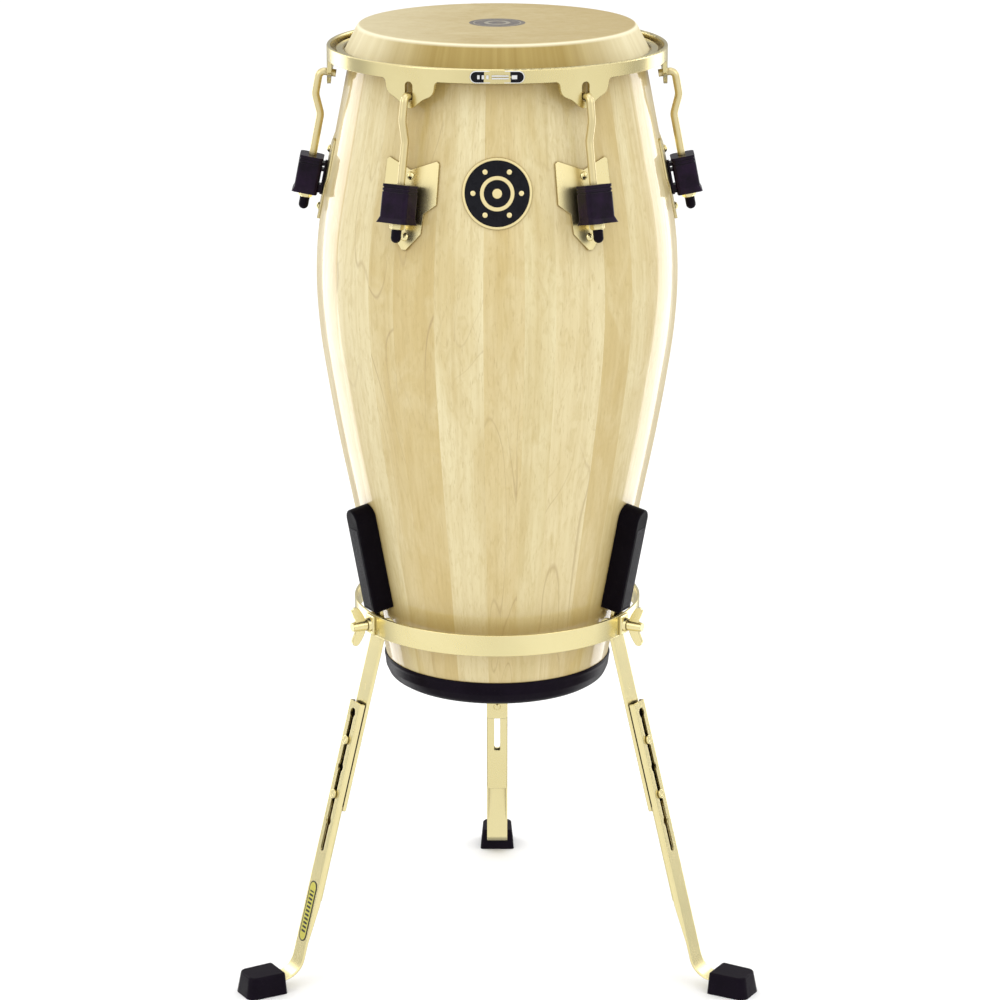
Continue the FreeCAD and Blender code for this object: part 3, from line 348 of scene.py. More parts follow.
def gold(name="gold_hardware", base=(0.83, 0.735, 0.40), deep=(0.72, 0.60, 0.26), roughness=0.20,
         crease_shade=0.85):
    """Pale gold plating: fine polish marks, faint haze, and painted shade along the edges and in the
    corners.
    """
    look = Look(name, Metallic=1.0)
    soft, edge = look.edges(0.0008)
    haze = look.noise(look.place, 14.0, 4.0, 0.6, 0.3)
    polish = look.grain(look.place, (1500.0, 1500.0, 300.0))
    spots = look.spread(look.noise(look.place, 420.0), 0.72, 0.80)
    colour = look.layered(base, [(look.spread(haze, 0.35, 0.75, 0.0, 0.30), deep),
                                 # painted shade along the edges, then painted shade in corners and gaps
                                 (look.times(edge, 0.70), GOLD["edges"]),
                                 (look.creases(0.007, crease_shade), GOLD["crease_shade"]),
                                 (look.times(spots, 0.18), GOLD["spots"])])
    rough = look.math("ADD", look.spread(haze, 0.3, 0.8, roughness, roughness + 0.08),
                      look.spread(polish, 0.3, 0.8, 0.0, 0.05))
    normal = look.bump(look.math("MULTIPLY_ADD", polish, 0.05, haze), 0.03, 0.00015, soft)
    return look.finish(colour, rough, normal)


def steel():
    """Zinc plated steel of the hidden washers, nuts, pins and hoop."""
    look = Look("zinc_steel", Metallic=1.0)
    soft, edge = look.edges(0.0004)
    haze = look.noise(look.place, 60.0, 4.0, 0.6)
    colour = look.mixed(look.spread(haze, 0.3, 0.7), (0.50, 0.50, 0.48), (0.68, 0.67, 0.64))
    # paler edges, partly wear and partly a painted highlight
    colour = look.mixed(look.times(edge, 0.5), colour, (0.85, 0.85, 0.83))
    rough = look.spread(haze, 0.3, 0.7, 0.26, 0.42)
    return look.finish(colour, rough, look.bump(haze, 0.08, 0.0004, soft))


def rubber(name="black_rubber", base=(0.003, 0.001, 0.0045), dusty=(0.008, 0.0045, 0.011), gloss=0.07,
           edge_wear_and_highlight=0.30, roughness=0.40):
    """Moulded black rubber: fine pebble, mould haze, a little dust and paler edges, partly rubbed wear and
    partly a painted highlight.
    """
    look = Look(name, Specular_IOR_Level=gloss)
    soft, edge = look.edges(0.0009)
    pebble = look.noise(look.place, 1900.0, 2.0, 0.6)
    haze = look.noise(look.place, 38.0, 4.0, 0.6, 0.4)
    dust = look.spread(look.noise(look.place, 300.0, 3.0, 0.7), 0.60, 0.78)
    colour = look.layered(base, [(look.spread(haze, 0.35, 0.75, 0.0, 0.6), dusty),
                                 (look.times(dust, 0.16), (0.05, 0.047, 0.05)),
                                 # paler edges, partly wear and partly a painted highlight
                                 (look.times(edge, edge_wear_and_highlight), (0.07, 0.068, 0.076))])
    rough = look.math("ADD", look.spread(haze, 0.3, 0.8, roughness, roughness + 0.14),
                      look.spread(pebble, 0.3, 0.8, 0.0, 0.06))
    return look.finish(colour, rough, look.bump(pebble, 0.22, 0.0003, soft))


def lug_casting():
    """Semi-gloss black coat on the lug blocks."""
    look = Look("lug_casting", Coat_Weight=0.12, Coat_Roughness=0.12, Specular_IOR_Level=0.07)
    soft, edge = look.edges(0.0007)
    peel = look.noise(look.place, 900.0, 2.0, 0.5)
    haze = look.noise(look.place, 70.0, 3.0, 0.6)
    colour = look.mixed(look.spread(haze, 0.35, 0.7), (0.004, 0.001, 0.006), (0.012, 0.0035, 0.018))
    # paler edges, partly wear and partly a painted highlight
    colour = look.mixed(look.times(edge, 0.35), colour, (0.05, 0.042, 0.055))
    rough = look.spread(peel, 0.3, 0.7, 0.26, 0.40)
    return look.finish(colour, rough, look.bump(peel, 0.14, 0.0003, soft))


def enamel():
    """Glossy black ground of the badges."""
    look = Look("badge_enamel", Coat_Weight=0.10, Coat_Roughness=0.05, Specular_IOR_Level=0.08)
    haze = look.noise(look.place, 120.0, 4.0, 0.6)
    colour = look.mixed(look.spread(haze, 0.3, 0.7), (0.003, 0.003, 0.005), (0.007, 0.007, 0.010))
    rough = look.spread(haze, 0.3, 0.7, 0.22, 0.34)
    return look.finish(colour, rough, look.bump(haze, 0.04, 0.0003))


def printed_gold():
    """Satin gold of the badge's border and motif."""
    return gold("badge_gold", (0.86, 0.74, 0.40), (0.74, 0.58, 0.26), 0.30)


def silver():
    """Brushed silver plate."""
    look = Look("badge_silver", Metallic=1.0)
    brushed = look.grain(look.place, (120.0, 120.0, 4000.0))
    colour = look.mixed(look.spread(brushed, 0.3, 0.7), (0.70, 0.70, 0.69), (0.86, 0.86, 0.84))
    rough = look.spread(brushed, 0.3, 0.7, 0.20, 0.32)
    return look.finish(colour, rough, look.bump(brushed, 0.06, 0.0002))


def sticker():
    """Yellow-green vinyl with a dark outline and plain dark bars across the leg."""
    look = Look("leg_sticker", Coat_Weight=0.1, Coat_Roughness=0.12, Specular_IOR_Level=0.2)
    low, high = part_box("leg_label")
    middle = (low + high) / 2
    turn = radians(LEG_AZIMUTHS["left"])
    across = look.node("VectorMath", {0: look.place, 1: (cos(turn), sin(turn), 0.0)},
                       operation="DOT_PRODUCT").outputs["Value"]
    off = look.math("SUBTRACT", across, middle.x * cos(turn) + middle.y * sin(turn))
    z = look.split(look.place)[2]
    rise = look.math("ABSOLUTE", look.math("SUBTRACT", z, middle.z))
    past = look.math("MAXIMUM", look.math("SUBTRACT", rise, (high.z - low.z) / 2 - LABEL_R), 0.0)
    far = look.math("SQRT", look.math("ADD", look.math("POWER", past, 2.0), look.math("POWER", off, 2.0)))
    outline = look.spread(far, LABEL_R - 0.0016, LABEL_R - 0.0011)
    up = look.spread(z, low.z, high.z)
    bars = look.math("GREATER_THAN", look.math("PINGPONG", look.times(up, 15.0), 0.5), 0.23)
    ends = look.times(look.math("GREATER_THAN", up, 0.14), look.math("LESS_THAN", up, 0.84))
    inside = look.math("LESS_THAN", look.math("ABSOLUTE", off), 0.0042)
    marks = look.times(look.times(ends, inside), bars)
    speck = look.noise(look.place, 500.0, 3.0, 0.6)
    yellow = look.mixed(look.spread(speck, 0.3, 0.7), (0.46, 0.42, 0.055), (0.56, 0.52, 0.10))
    colour = look.mixed(look.math("MAXIMUM", outline, marks), yellow, (0.022, 0.022, 0.014))
    return look.finish(colour, look.spread(speck, 0.3, 0.7, 0.30, 0.42), look.bump(speck, 0.05, 0.0002))


# ---- Mesh helpers -----------------------------------------------------------------------------
MERGE = 1e-7                 # points closer than this are one point


def finished(name, mesh, body, material, sharp=35.0, about_axis=True):
    """Object of a mesh, shaded smooth except at its sharp edges, riding on a body."""
    for polygon in mesh.polygons:
        polygon.use_smooth = True
    mesh.set_sharp_from_angle(angle=radians(sharp))
    mesh.materials.append(material)
    piece = bpy.data.objects.new(name, mesh)
    bpy.context.scene.collection.objects.link(piece)
    if about_axis:
        piece.location = (0.0, AXIS_Y, 0.0)
    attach(piece, body)
    return piece


def mesh_of(name, points, faces, dissolve=False):
    """Mesh with its faces turned outwards; dissolve removes faces that have no area."""
    mesh = bpy.data.meshes.new(name)
    mesh.from_pydata(points, [], faces)
    work = bmesh.new()
    work.from_mesh(mesh)
    bmesh.ops.remove_doubles(work, verts=work.verts, dist=MERGE)
    if dissolve:
        bmesh.ops.dissolve_degenerate(work, dist=MERGE, edges=work.edges)
    bmesh.ops.recalc_face_normals(work, faces=work.faces)
    work.to_mesh(mesh)
    work.free()
    return mesh


def rounded(outline, steps=5):
    """Closed outline of (x, y, corner radius) points, its corners rounded."""
    result = []
    for i, (x, y, radius) in enumerate(outline):
        corner = Vector((x, y))
        back = Vector(outline[i - 1][:2]) - corner
        ahead = Vector(outline[(i + 1) % len(outline)][:2]) - corner
        if radius == 0:
            result.append(corner)
            continue
        reach = min(radius / tan(back.angle(ahead) / 2), back.length * 0.49, ahead.length * 0.49)
        start, end = corner + back.normalized() * reach, corner + ahead.normalized() * reach
        for step in range(steps + 1):
            t = step / steps
            result.append(start * (1 - t) ** 2 + corner * 2 * t * (1 - t) + end * t ** 2)
    return [(p.x, p.y) for p in result]


def turned(name, outline, segments=192, shape=None):
    """Mesh of a closed (radius, height) outline in metres, turned about the drum's axis.

    shape(radius, height, angle) may move each point."""
    points, faces = [], []
    count = len(outline)
    for i in range(segments):
        angle = 2 * pi * i / segments
        for radius, height in outline:
            r, z = shape(radius, height, angle) if shape else (radius, height)
            points.append((r * sin(angle), -r * cos(angle), z))
    for i in range(segments):
        here, there = i * count, (i + 1) % segments * count
        for j in range(count):
            k = (j + 1) % count
            faces.append((here + j, there + j, there + k, here + k))
    return mesh_of(name, points, faces, True)


def relief(name, surface, patches):
    """Thin raised shapes on a surface.  surface(across, up, lift) gives a point, and a patch is a
    list of (outline, lift) loops with equal counts, whose last loop is joined to its first if hollow."""
    points, faces = [], []
    for loops, hollow in patches:
        base = len(points)
        count = len(loops[0][0])
        for outline, lift in loops:
            points.extend(surface(across, up, lift) for across, up in outline)
        pairs = [(k, k + 1) for k in range(len(loops) - 1)]
        if hollow:
            pairs.append((len(loops) - 1, 0))
        else:
            faces.append(tuple(base + (len(loops) - 1) * count + j for j in range(count)))
            faces.append(tuple(base + j for j in reversed(range(count))))
        for low, high in pairs:
            for j in range(count):
                k = (j + 1) % count
                faces.append((base + low * count + j, base + low * count + k,
                              base + high * count + k, base + high * count + j))
    return mesh_of(name, points, faces)


def circle(radius, centre, count):
    return [(centre[0] + radius * cos(2 * pi * i / count), centre[1] + radius * sin(2 * pi * i / count))
            for i in range(count)]


def pill(half_length, half_height, count=96):
    """Outline of a pill that lies along the first direction."""
    straight = half_length - half_height
    outline = []
    for i in range(count):
        angle = 2 * pi * (i + 0.5) / count
        side = 1 if cos(angle) > 0 else -1
        outline.append((side * straight + half_height * cos(angle), half_height * sin(angle)))
    return outline


# ---- Drum -------------------------------------------------------------------------------------
SOFT = 0.25 * MM             # softened edges of the badges' raised shapes
DISC_RINGS = 6
MOTIF_RING = (17.5 * MM, 13.5 * MM)
MOTIF_DISC_R = 5.0 * MM
MOTIF_DOME = 0.15 * MM
DOT_CIRCLE_R = 24.5 * MM
DOT_R = 2.7 * MM
# Start, length, bottom and top of the rim badge's bars, in millimetres from its middle.
RIM_BARS = [(-20.0, 2.4, -2.0, 2.0), (-15.5, 2.4, -2.0, 2.0), (-11.0, 2.4, -2.0, 2.0),
            (-5.5, 17.0, 0.6, 2.0), (-5.5, 17.0, -2.0, -0.6), (14.5, 5.5, -2.0, 2.0)]


def shell_radius(height):
    """Outer radius of the shell, in metres: straight on the cones, a cubic through the belly."""
    z = height / MM
    line = SHELL_LINE
    last = len(line) - 1
    i = max(k for k in range(last) if k == 0 or line[k][0] <= z)
    slopes = [(line[k + 1][1] - line[k][1]) / (line[k + 1][0] - line[k][0]) for k in range(last)]

    def slope_at(k):
        if k in (0, 1):
            return slopes[0]
        if k in (last - 1, last):
            return slopes[-1]
        before, after = line[k][0] - line[k - 1][0], line[k + 1][0] - line[k][0]
        return (slopes[k - 1] * after + slopes[k] * before) / (before + after)

    step = line[i + 1][0] - line[i][0]
    t = (z - line[i][0]) / step
    low, high = line[i][1], line[i + 1][1]
    value = ((1 + 2 * t) * (1 - t) ** 2 * low + t * (1 - t) ** 2 * step * slope_at(i)
             + t * t * (3 - 2 * t) * high + t * t * (t - 1) * step * slope_at(i + 1))
    return value * MM


def make_shell(material):
    """The glued staves as one turned piece, with a rounded bearing edge under the head."""
    low, top = SHELL_LINE[0][0] * MM, SHELL_LINE[-1][0] * MM
    heights = [low + (top - low) * i / SHELL_ROWS for i in range(SHELL_ROWS + 1)]
    outline = [(shell_radius(z), z) for z in heights]
    outline += rounded([(*outline[-1], 0)] + BEARING_EDGE)[1:]
    outline += [(shell_radius(z) - SHELL_WALL, z) for z in reversed(heights)][1:]
    mesh = turned("shell_staves", outline, ROUND_STEPS)
    piece = finished("shell_staves", mesh, "drum", material)
    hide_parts("shell")


def hide_shape(draw):
    """Small unevenness of a skin stretched over the shell, as a change of radius and height."""
    waves = [(k, draw.uniform(0, 2 * pi), draw.uniform(0.3, 1.0) / k ** 0.6) for k in range(2, 30)]

    def shape(radius, height, angle):
        depth = (HEAD_TOP - height) / MM
        swing = sum(a * sin(k * angle + phase) for k, phase, a in waves) * MM
        on_collar = min(max((depth - 3.0) / 10.0, 0.0), 1.0)
        on_tuck = min(max((depth - 29.0) / 4.0, 0.0), 1.0)
        out = swing * (0.10 * on_collar + 0.12 * on_tuck)
        on_face = 1.0 if depth < 2.5 else 0.0
        sag = 0.25 * MM * on_face * max(0.0, 1.0 - (radius / HEAD_FLAT_R) ** 2)
        return radius + out if radius > 0.02 else radius, height - sag + 0.5 * out * on_tuck

    return shape


def head_outline():
    """Outline of the hide: its face, roll, collar, the tuck round the hoop and the inner side."""
    turn = atan2(1.0, COLLAR_SLOPE)
    face, roll, collar, tuck = HEAD_STEPS.values()
    radii = [HEAD_FLAT_R * i / face for i in range(face + 1)]
    outline = [(radius, HEAD_TOP) for radius in radii]
    for i in range(1, roll + 1):
        angle = turn * i / roll
        outline.append((HEAD_FLAT_R + HEAD_ROLL_R * sin(angle),
                        HEAD_TOP - HEAD_ROLL_R + HEAD_ROLL_R * cos(angle)))
    start_r, start_z = outline[-1]
    fall = HOOP_Z + COLLAR_END - start_z
    for i in range(1, collar + 1):
        z = start_z + fall * i / collar
        outline.append((start_r + COLLAR_SLOPE * (start_z - z), z))
    for i in range(tuck + 1):
        angle = radians(TUCK_TURN[0] + TUCK_TURN[1] * i)
        outline.append((HOOP_R + TUCK_R * cos(angle), HOOP_Z + TUCK_R * sin(angle)))
    outline += [(HOOP_R - 2.2 * MM, HOOP_Z + 4.0 * MM), (start_r - HEAD_SKIN, start_z - HEAD_SKIN)]
    return outline + [(radius, HEAD_TOP - HEAD_SKIN) for radius in reversed(radii)]


def make_head(material):
    """Stretched hide with a little unevenness."""
    mesh = turned("head_hide", head_outline(), ROUND_STEPS, hide_shape(random.Random(5)))
    piece = finished("head_hide", mesh, "drum", material, 60.0)
    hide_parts("drum_head")


def make_bottom_ring(material):
    """Moulded rubber ring: a soft top lip, a bead, a rounded foot and a groove for the shell."""
    low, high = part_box("bottom_rubber_ring")
    bottom, top, side = low.z / MM, high.z / MM, high.x / MM
    foot_z, foot_r = SHELL_LINE[0]
    inner, lip_z = foot_r - SHELL_WALL / MM, foot_z + 10
    outline = [(shell_radius(high.z) / MM - 0.1, top, 0), (side - 1.0, top, 1.2),
               (side, top - 2.4, 1.2), (side - 0.7, top - 5.4, 0.8),
               (121.8, bottom + 13.5, 6.0), (117.8, bottom + 4.6, 9.0), (110.5, bottom, 5.0),
               (inner - 1.6, bottom, 1.5), (inner - 2.0, lip_z, 0.8), (inner + 1.6, lip_z, 0),
               (inner + 0.1, foot_z + 0.1, 0), (foot_r, foot_z + 0.1, 0)]
    outline = [(radius * MM, height * MM) for radius, height in rounded(outline)]
    piece = finished("bottom_ring", turned("bottom_ring", outline, 224), "drum", material)
    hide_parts("bottom_rubber_ring")


def make_stand_ring(material):
    """Rolled flat band with softened edges."""
    outer, edge = ring_high.x, 0.9 * MM
    inner = outer - RING_WALL
    outline = [(inner, ring_low.z, edge), (outer, ring_low.z, edge), (outer, ring_high.z, edge),
               (inner, ring_high.z, edge)]
    mesh = turned("stand_band", rounded(outline), ROUND_STEPS)
    piece = finished("stand_band", mesh, "stand", material)
    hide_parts("stand_ring")


def on_shell(across, up, lift):
    """Point on the shell's front, seen straight on from the badge's centre."""
    radius = shell_radius(BADGE_Z + up) + lift
    return (across, -sqrt(radius ** 2 - across ** 2), BADGE_Z + up)


def raised_ring(outer, inner, foot, top, count=96):
    """A raised ring with softened edges, as a hollow patch."""
    edge = min(SOFT, (outer - inner) / 4, abs(top - foot) / 2)
    loops = [(outer, foot), (outer, top - edge), (outer - edge, top), (inner + edge, top),
             (inner, top - edge), (inner, foot)]
    return [(circle(r, (0.0, 0.0), count), lift) for r, lift in loops], True


def raised_disc(radius, foot, top, dome=0.0, count=32, centre=(0.0, 0.0)):
    """A raised disc with a soft edge and a slight dome, as a solid patch."""
    edge = min(SOFT, radius / 4, abs(top - foot) / 2)
    loops = [(radius, foot), (radius, top - edge), (radius - edge, top)]
    for i in range(1, DISC_RINGS):
        left = 1 - i / DISC_RINGS
        loops.append(((radius - edge) * left, top + dome * (1 - left ** 2)))
    return [(circle(r, centre, count), lift) for r, lift in loops], False


def make_shell_badge(ground, trim):
    """Round badge: black ground, gold border, and a ring with six dots like a drum seen from above."""
    foot = -0.3 * MM
    plate = relief("badge_ground", on_shell, [raised_disc(BADGE_R - 2.2 * MM, foot, 0.9 * MM, 0, 96)])
    plate_piece = finished("badge_ground", plate, "drum", ground)
    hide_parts("shell_badge")
    patches = [raised_ring(BADGE_R, BADGE_R - 2.6 * MM, foot, 1.35 * MM),
               raised_ring(*MOTIF_RING, foot, 1.2 * MM, 72),
               raised_disc(MOTIF_DISC_R, foot, 1.1 * MM, MOTIF_DOME)]
    for azimuth in LUG_AZIMUTHS:
        centre = (DOT_CIRCLE_R * sin(radians(azimuth)), DOT_CIRCLE_R * cos(radians(azimuth)))
        patches.append(raised_disc(DOT_R, foot, 1.1 * MM, MOTIF_DOME, centre=centre))
    motif = relief("badge_motif", on_shell, patches)
    finished("badge_motif", motif, "drum", trim)


def rim_bar(start, length, low, high, foot, top):
    """Raised bar on the rim's badge, as a solid patch."""
    soft = 0.4
    corners = [(start, low, soft), (start + length, low, soft), (start + length, high, soft),
               (start, high, soft)]
    shape = [(across * MM, up * MM) for across, up in rounded(corners)]
    return [(shape, foot), (shape, top)], False


def make_rim_badge(ground, trim):
    """Pill shaped plate: silver border and bars on a black ground."""
    middle = (rim_badge_low.z + rim_badge_high.z) / 2
    half_length = rim_badge_high.x
    half_height = (rim_badge_high.z - rim_badge_low.z) / 2
    border, soft = 1.1 * MM, 0.2 * MM
    foot, panel, top = -0.2 * MM, 0.75 * MM, 1.1 * MM

    def on_rim(across, up, lift):
        return (across, -sqrt((RIM_R + lift) ** 2 - across ** 2), middle + up)

    def inset(depth, lift):
        return pill(half_length - depth, half_height - depth), lift

    frame_loops = [inset(0, foot), inset(0, top - soft), inset(soft, top), inset(border - soft, top),
                   inset(border, panel - 0.1 * MM), inset(border, foot)]
    bars = [rim_bar(*bar, foot, panel + soft) for bar in RIM_BARS]
    border_mesh = relief("rim_badge_border", on_rim, [(frame_loops, True)] + bars)
    piece = finished("rim_badge_border", border_mesh, "rim", trim)
    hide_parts("rim_badge")
    edge = border - 0.05 * MM
    ground_loops = [inset(edge, foot), inset(edge, panel)]
    ground_loops += [inset(border + (half_height - border) * i / DISC_RINGS, panel)
                     for i in range(1, DISC_RINGS)]
    finished("rim_badge_ground", relief("rim_badge_ground", on_rim, [(ground_loops, False)]), "rim",
             ground)


# ---- Stand ------------------------------------------------------------------------------------
PAD_TILT = radians(11.15)
PAD_RIBS = 7
RIB_PITCH = 2.4 * MM
RIB_HALF = 0.75 * MM
RIB_HEIGHT = 0.45 * MM
RIB_SOFT = 0.5 * MM
RIB_SINK = 0.3 * MM          # how far the ribs reach into the pad
RIB_ENDS = (5 * MM, 22 * MM)  # plain stretches below and above the ribs

LEG_TILT = radians(14.8)
PIVOT_R = 144.2 * MM         # of the leg's hinge, from the drum's axis
PIVOT_Z = 395.3 * MM
STRIP_HALF = 11.4 * MM
STRIP_CORNER_R = 2.0 * MM
STRIP_FACES = (2.3 * MM, 3.55 * MM)    # from the middle of the upper leg's bar
SLIT_HALF = 3.4 * MM         # the bar's studs slide in the slit
# Spans along the leg, below the hinge.
SHADE_STRIP_SPAN, SHADE_STRIP_SLIT = (93.0 * MM, 204.0 * MM), (101.5 * MM, 198.0 * MM)
PLATE_SPAN, PLATE_SLIT = (204.0 * MM, 312.0 * MM), (206.0 * MM, 258.3 * MM)


def far_point(node, direction):
    """How far a CAD node reaches in a direction."""
    return max(vertex.co.dot(direction) for vertex in frame["nodes"][node].data.vertices)


def leg_directions(azimuth, tilt):
    """A leg's outward and sideways directions, then straight off and along its tilted face."""
    turn = radians(azimuth)
    outwards = Vector((sin(turn), -cos(turn), 0.0))
    across = Vector((cos(turn), sin(turn), 0.0))
    face = outwards * cos(tilt) - Vector((0.0, 0.0, sin(tilt)))
    up = outwards * sin(tilt) + Vector((0.0, 0.0, cos(tilt)))
    return outwards, across, face, up


def make_pad_ribs(name, azimuth, material):
    """Fine upright ribs moulded on the outer face of a shell pad."""
    _, across, face, up = leg_directions(azimuth, PAD_TILT)
    node = "shell_pad_" + name
    depth = far_point(node, face)
    low, high = -far_point(node, -up), far_point(node, up)
    middle = (far_point(node, across) - far_point(node, -across)) / 2
    points, faces = [], []
    profile = rounded([(-RIB_HALF, -RIB_SINK, 0), (-RIB_HALF, RIB_HEIGHT, RIB_SOFT),
                       (RIB_HALF, RIB_HEIGHT, RIB_SOFT), (RIB_HALF, -RIB_SINK, 0)], 3)
    count = len(profile)
    for i in range(PAD_RIBS):
        offset = middle + (i - (PAD_RIBS - 1) / 2) * RIB_PITCH
        base = len(points)
        for height in (low + RIB_ENDS[0], high - RIB_ENDS[1]):
            points += [across * (offset + side) + face * (depth + lift) + up * height
                       for side, lift in profile]
        faces.append(tuple(base + j for j in range(count)))
        faces.append(tuple(base + count + j for j in reversed(range(count))))
        for j in range(count):
            k = (j + 1) % count
            faces.append((base + j, base + count + j, base + count + k, base + k))
    mesh = mesh_of("pad_ribs_" + name, points, faces)
    finished("pad_ribs_" + name, mesh, "leg_" + name, material, 30.0, False)


def make_slit_strip(name, body, azimuth, span, slit_span, material):
    """Flat strip on the sliding channel's inner edges, with a slit along its middle."""
    outwards, across, face, up = leg_directions(azimuth, -LEG_TILT)
    pivot = outwards * PIVOT_R + Vector((0.0, 0.0, PIVOT_Z))

    def outline(half, start, end):
        return rounded([(-half, start, STRIP_CORNER_R), (half, start, STRIP_CORNER_R),
                        (half, end, STRIP_CORNER_R), (-half, end, STRIP_CORNER_R)])

    def on_leg(side, drop, lift):
        return pivot + across * side - up * drop + face * lift

    edge, slit = outline(STRIP_HALF, *span), outline(SLIT_HALF, *slit_span)
    back, front = STRIP_FACES
    loops = [(edge, back), (edge, front), (slit, front), (slit, back)]
    finished(name, relief(name, on_leg, [(loops, True)]), body, material, 30.0)


# ---- Studio -----------------------------------------------------------------------------------
CAMERA_BACK = 3.7691         # from the drum's axis
CAMERA_HEIGHT = 1.5856
CAMERA_PITCH = 15.91         # degrees below the horizon
FOCAL_LENGTH = 130.18        # millimetres, as is the sensor's width
SENSOR = 36.0
FRAME_SHIFT = 0.0028
WORLD_STRENGTH = 1.22
# Brightness of the walls by degrees from the front.
WALL_TONES = [(0, 0.82), (40, 0.92), (84, 0.92), (106, 0.50), (118, 0.50), (128, 0.95), (143, 0.95),
              (156, 0.40), (178, 0.34)]
CEILING_TONES = [(0.25, 0.0), (0.6, 1.0)]
LIGHT_AIM_Z = 0.62
# Azimuth, height, distance, width, length and watts of each soft box.
LIGHTS = {"strip_left": (-131, 0.3, 2.1, 0.90, 3.6, 20), "strip_right": (131, 0.3, 2.1, 0.90, 3.6, 20),
          "box_left": (-52, 2.1, 2.4, 1.2, 1.2, 6), "box_right": (52, 2.1, 2.4, 1.2, 1.2, 6),
          "box_top": (0, 3.0, 0.3, 1.6, 1.6, 4)}
FLOOR_HALF = 40.0
FLOOR_Z = -0.3 * MM          # just under the feet


def make_camera():
    """Camera at the photograph's viewing angle."""
    data = bpy.data.cameras.new("camera")
    data.lens = FOCAL_LENGTH
    data.sensor_width = SENSOR
    data.shift_x = FRAME_SHIFT
    camera = bpy.data.objects.new("camera", data)
    camera.location = (0.0, AXIS_Y - CAMERA_BACK, CAMERA_HEIGHT)
    camera.rotation_euler = (radians(90 - CAMERA_PITCH), 0.0, 0.0)
    bpy.context.scene.collection.objects.link(camera)
    bpy.context.scene.camera = camera


def make_light(name, azimuth, height, distance, width, tall, watts):
    """Soft box that faces the drum; azimuth 0 is in front and 90 to the right."""
    data = bpy.data.lights.new(name, "AREA")
    data.shape = "RECTANGLE"
    data.size, data.size_y = width, tall
    data.energy = watts
    light = bpy.data.objects.new(name, data)
    turn = radians(azimuth)
    place = Vector((distance * sin(turn), AXIS_Y - distance * cos(turn), height))
    aim = Vector((0.0, AXIS_Y, LIGHT_AIM_Z)) - place
    light.location = place
    light.rotation_euler = aim.to_track_quat("-Z", "Y").to_euler()
    light.visible_camera = False
    bpy.context.scene.collection.objects.link(light)


def greys(stops):
    """Ramp stops of grey from (position, brightness)."""
    return [(position, (level, level, level)) for position, level in stops]


def mirrored(stops):
    """Ramp round the drum from (degrees from the front, value): 0.5 is the back, 0 and 1 the front."""
    left = [(angle / 360, level) for angle, level in stops]
    return left + [(1 - position, level) for position, level in reversed(left)]


def make_world():
    """Studio walls: bright in front, darker flags at the sides and behind, a white ceiling."""
    world = bpy.data.worlds.new("studio")
    bpy.context.scene.world = world
    world.use_nodes = True
    nodes = Nodes(world.node_tree)
    x, y, z = nodes.split(nodes.node("TexCoord").outputs["Generated"])
    turn = nodes.math("MULTIPLY_ADD", nodes.math("ARCTAN2", x, y), 1 / (2 * pi), 0.5)
    walls = nodes.ramp(turn, greys(mirrored(WALL_TONES)), "EASE")
    ceiling = nodes.ramp(z, greys(CEILING_TONES), "EASE")
    background = nodes.tree.nodes["Background"].inputs
    nodes.plug(background["Color"], nodes.mixed(ceiling, walls, (1.0, 1.0, 1.0)))
    nodes.plug(background["Strength"], WORLD_STRENGTH)


def make_floor():
    """Pale paper floor, left out of reflections so that the drum's own sides stay clean."""
    look = Look("floor_paper")
    grain = look.noise(look.place, 40.0, 4.0)
    colour = look.mixed(grain, (0.93, 0.93, 0.93), (0.95, 0.95, 0.95))
    material = look.finish(colour, look.spread(grain, 0.3, 0.7, 0.75, 0.85))
    mesh = bpy.data.meshes.new("floor")
    half = FLOOR_HALF
    mesh.from_pydata([(-half, -half, 0), (half, -half, 0), (half, half, 0), (-half, half, 0)], [],
                     [(0, 1, 2, 3)])
    mesh.materials.append(material)
    floor = bpy.data.objects.new("floor", mesh)
    floor.location = (0.0, 0.0, FLOOR_Z)
    bpy.context.scene.collection.objects.link(floor)
    floor.visible_glossy = False


# ---- Assembly ---------------------------------------------------------------------------------
OWN_LOOKS = {"tuning_hook": "satin_rods_shaded", "shell_pad": "pad_rubber", "tuning_rim": "gold_rim_shaded",
             "side_plates": "gold_plates_shaded"}


def dress_nodes(materials):
    """Materials for the CAD nodes that stay: their own, or that of the record's slot."""
    for part in frame["record"]["subparts"]:
        name = part["node"]
        own = [look for start, look in OWN_LOOKS.items() if name.startswith(start)]
        node = frame["nodes"][name]
        node.data.materials.clear()
        node.data.materials.append(materials[own[0] if own else part["material_slot"]])


wood, hide, plating, black_rubber = shell_wood(), head_hide(), gold(), rubber()
pad_rubber = rubber("pad_rubber", (0.002, 0.001, 0.0025), (0.005, 0.0035, 0.006), 0.04, 0.7)
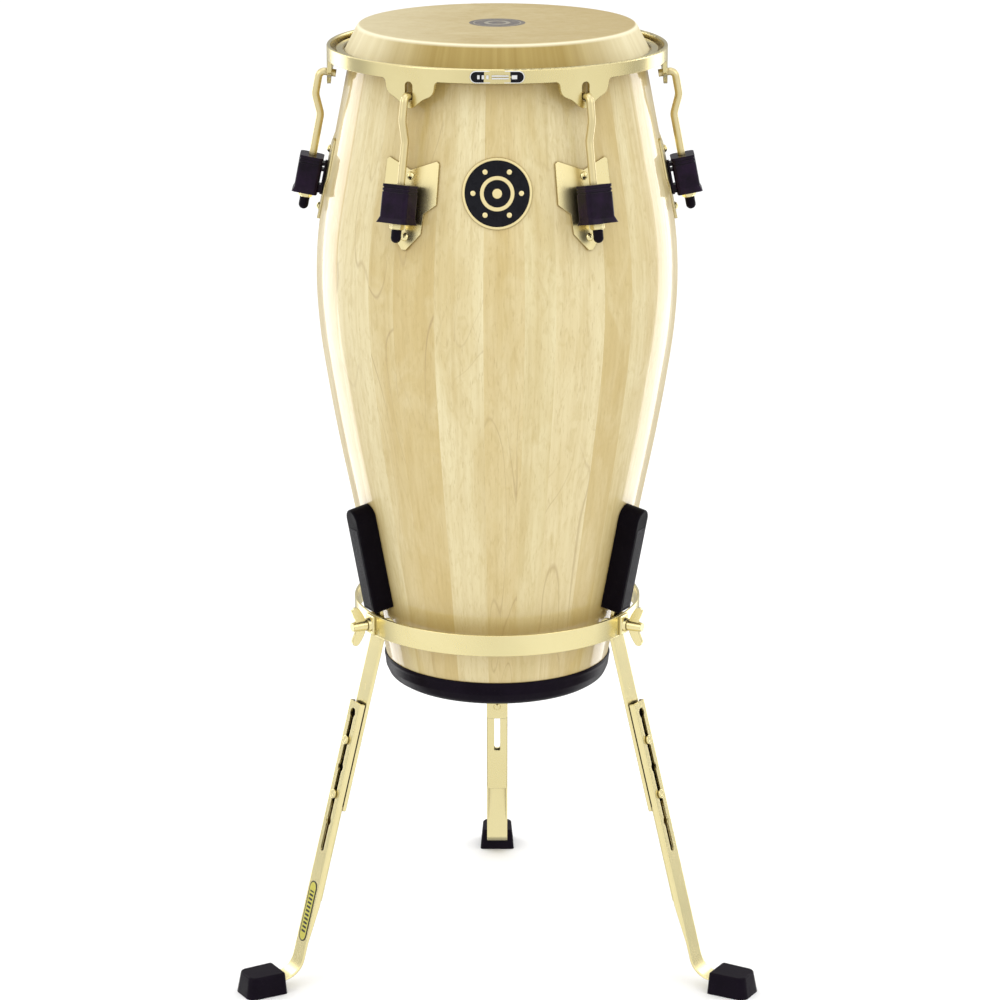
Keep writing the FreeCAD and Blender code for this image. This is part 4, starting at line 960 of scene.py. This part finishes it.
# rib rubber is the pad's rubber painted paler, a painted highlight on the ribs
rib_rubber_highlit = rubber("rib_rubber_highlit", (0.010, 0.009, 0.011), (0.030, 0.029, 0.033), 0.30, 0.9)
ring_rubber = rubber("ring_rubber", gloss=0.06, roughness=0.28)
# dark plastic for the strips behind the leg slits: its dark brown stands in for the shade in the slot and
# in the gap between bar and channel
shade_strip_plastic = rubber("slot_shade_plastic", (0.006, 0.0035, 0.002), (0.016, 0.009, 0.004), 0.10)
black_enamel, badge_trim, badge_silver = enamel(), printed_gold(), silver()
zinc = steel()
dress_nodes({"shell_wood": wood, "head_skin": hide, "gold_hardware": plating, "hoop_steel": zinc,
             "plain_steel": zinc, "black_rubber": black_rubber, "black_casting": lug_casting(),
             "badge_black": black_enamel, "badge_silver": badge_silver, "label_yellow": sticker(),
             "pad_rubber": pad_rubber,
             # painted shade: the rim, plates and rods get darker copies of the same gold plating
             "gold_rim_shaded": gold("gold_rim_shaded", (0.72, 0.63, 0.335), (0.62, 0.51, 0.22)),
             "gold_plates_shaded": gold("gold_plates_shaded", (0.78, 0.68, 0.37), (0.68, 0.56, 0.24), 0.24, 0.2),
             "satin_rods_shaded": gold("gold_rods_shaded", (0.70, 0.60, 0.33), (0.60, 0.49, 0.23), 0.26)})
make_shell(wood)
make_head(hide)
make_bottom_ring(ring_rubber)
make_stand_ring(plating)
make_shell_badge(black_enamel, badge_trim)
make_rim_badge(black_enamel, badge_silver)

for leg_name, leg_azimuth in LEG_AZIMUTHS.items():
    lower_leg = "lower_leg_" + leg_name
    make_pad_ribs(leg_name, leg_azimuth, rib_rubber_highlit)
    # the first strip is dark and stands in for the shade in the slot, the second is the gold plate behind
    # it
    make_slit_strip("slot_shade_strip_" + leg_name, lower_leg, leg_azimuth, SHADE_STRIP_SPAN, SHADE_STRIP_SLIT,
                    shade_strip_plastic)
    make_slit_strip("inner_plate_" + leg_name, lower_leg, leg_azimuth, PLATE_SPAN, PLATE_SLIT,
                    plating)

make_floor()
make_world()
make_camera()
for light_name, light_values in LIGHTS.items():
    make_light(light_name, *light_values)
bpy.context.scene.view_settings.view_transform = "Standard"
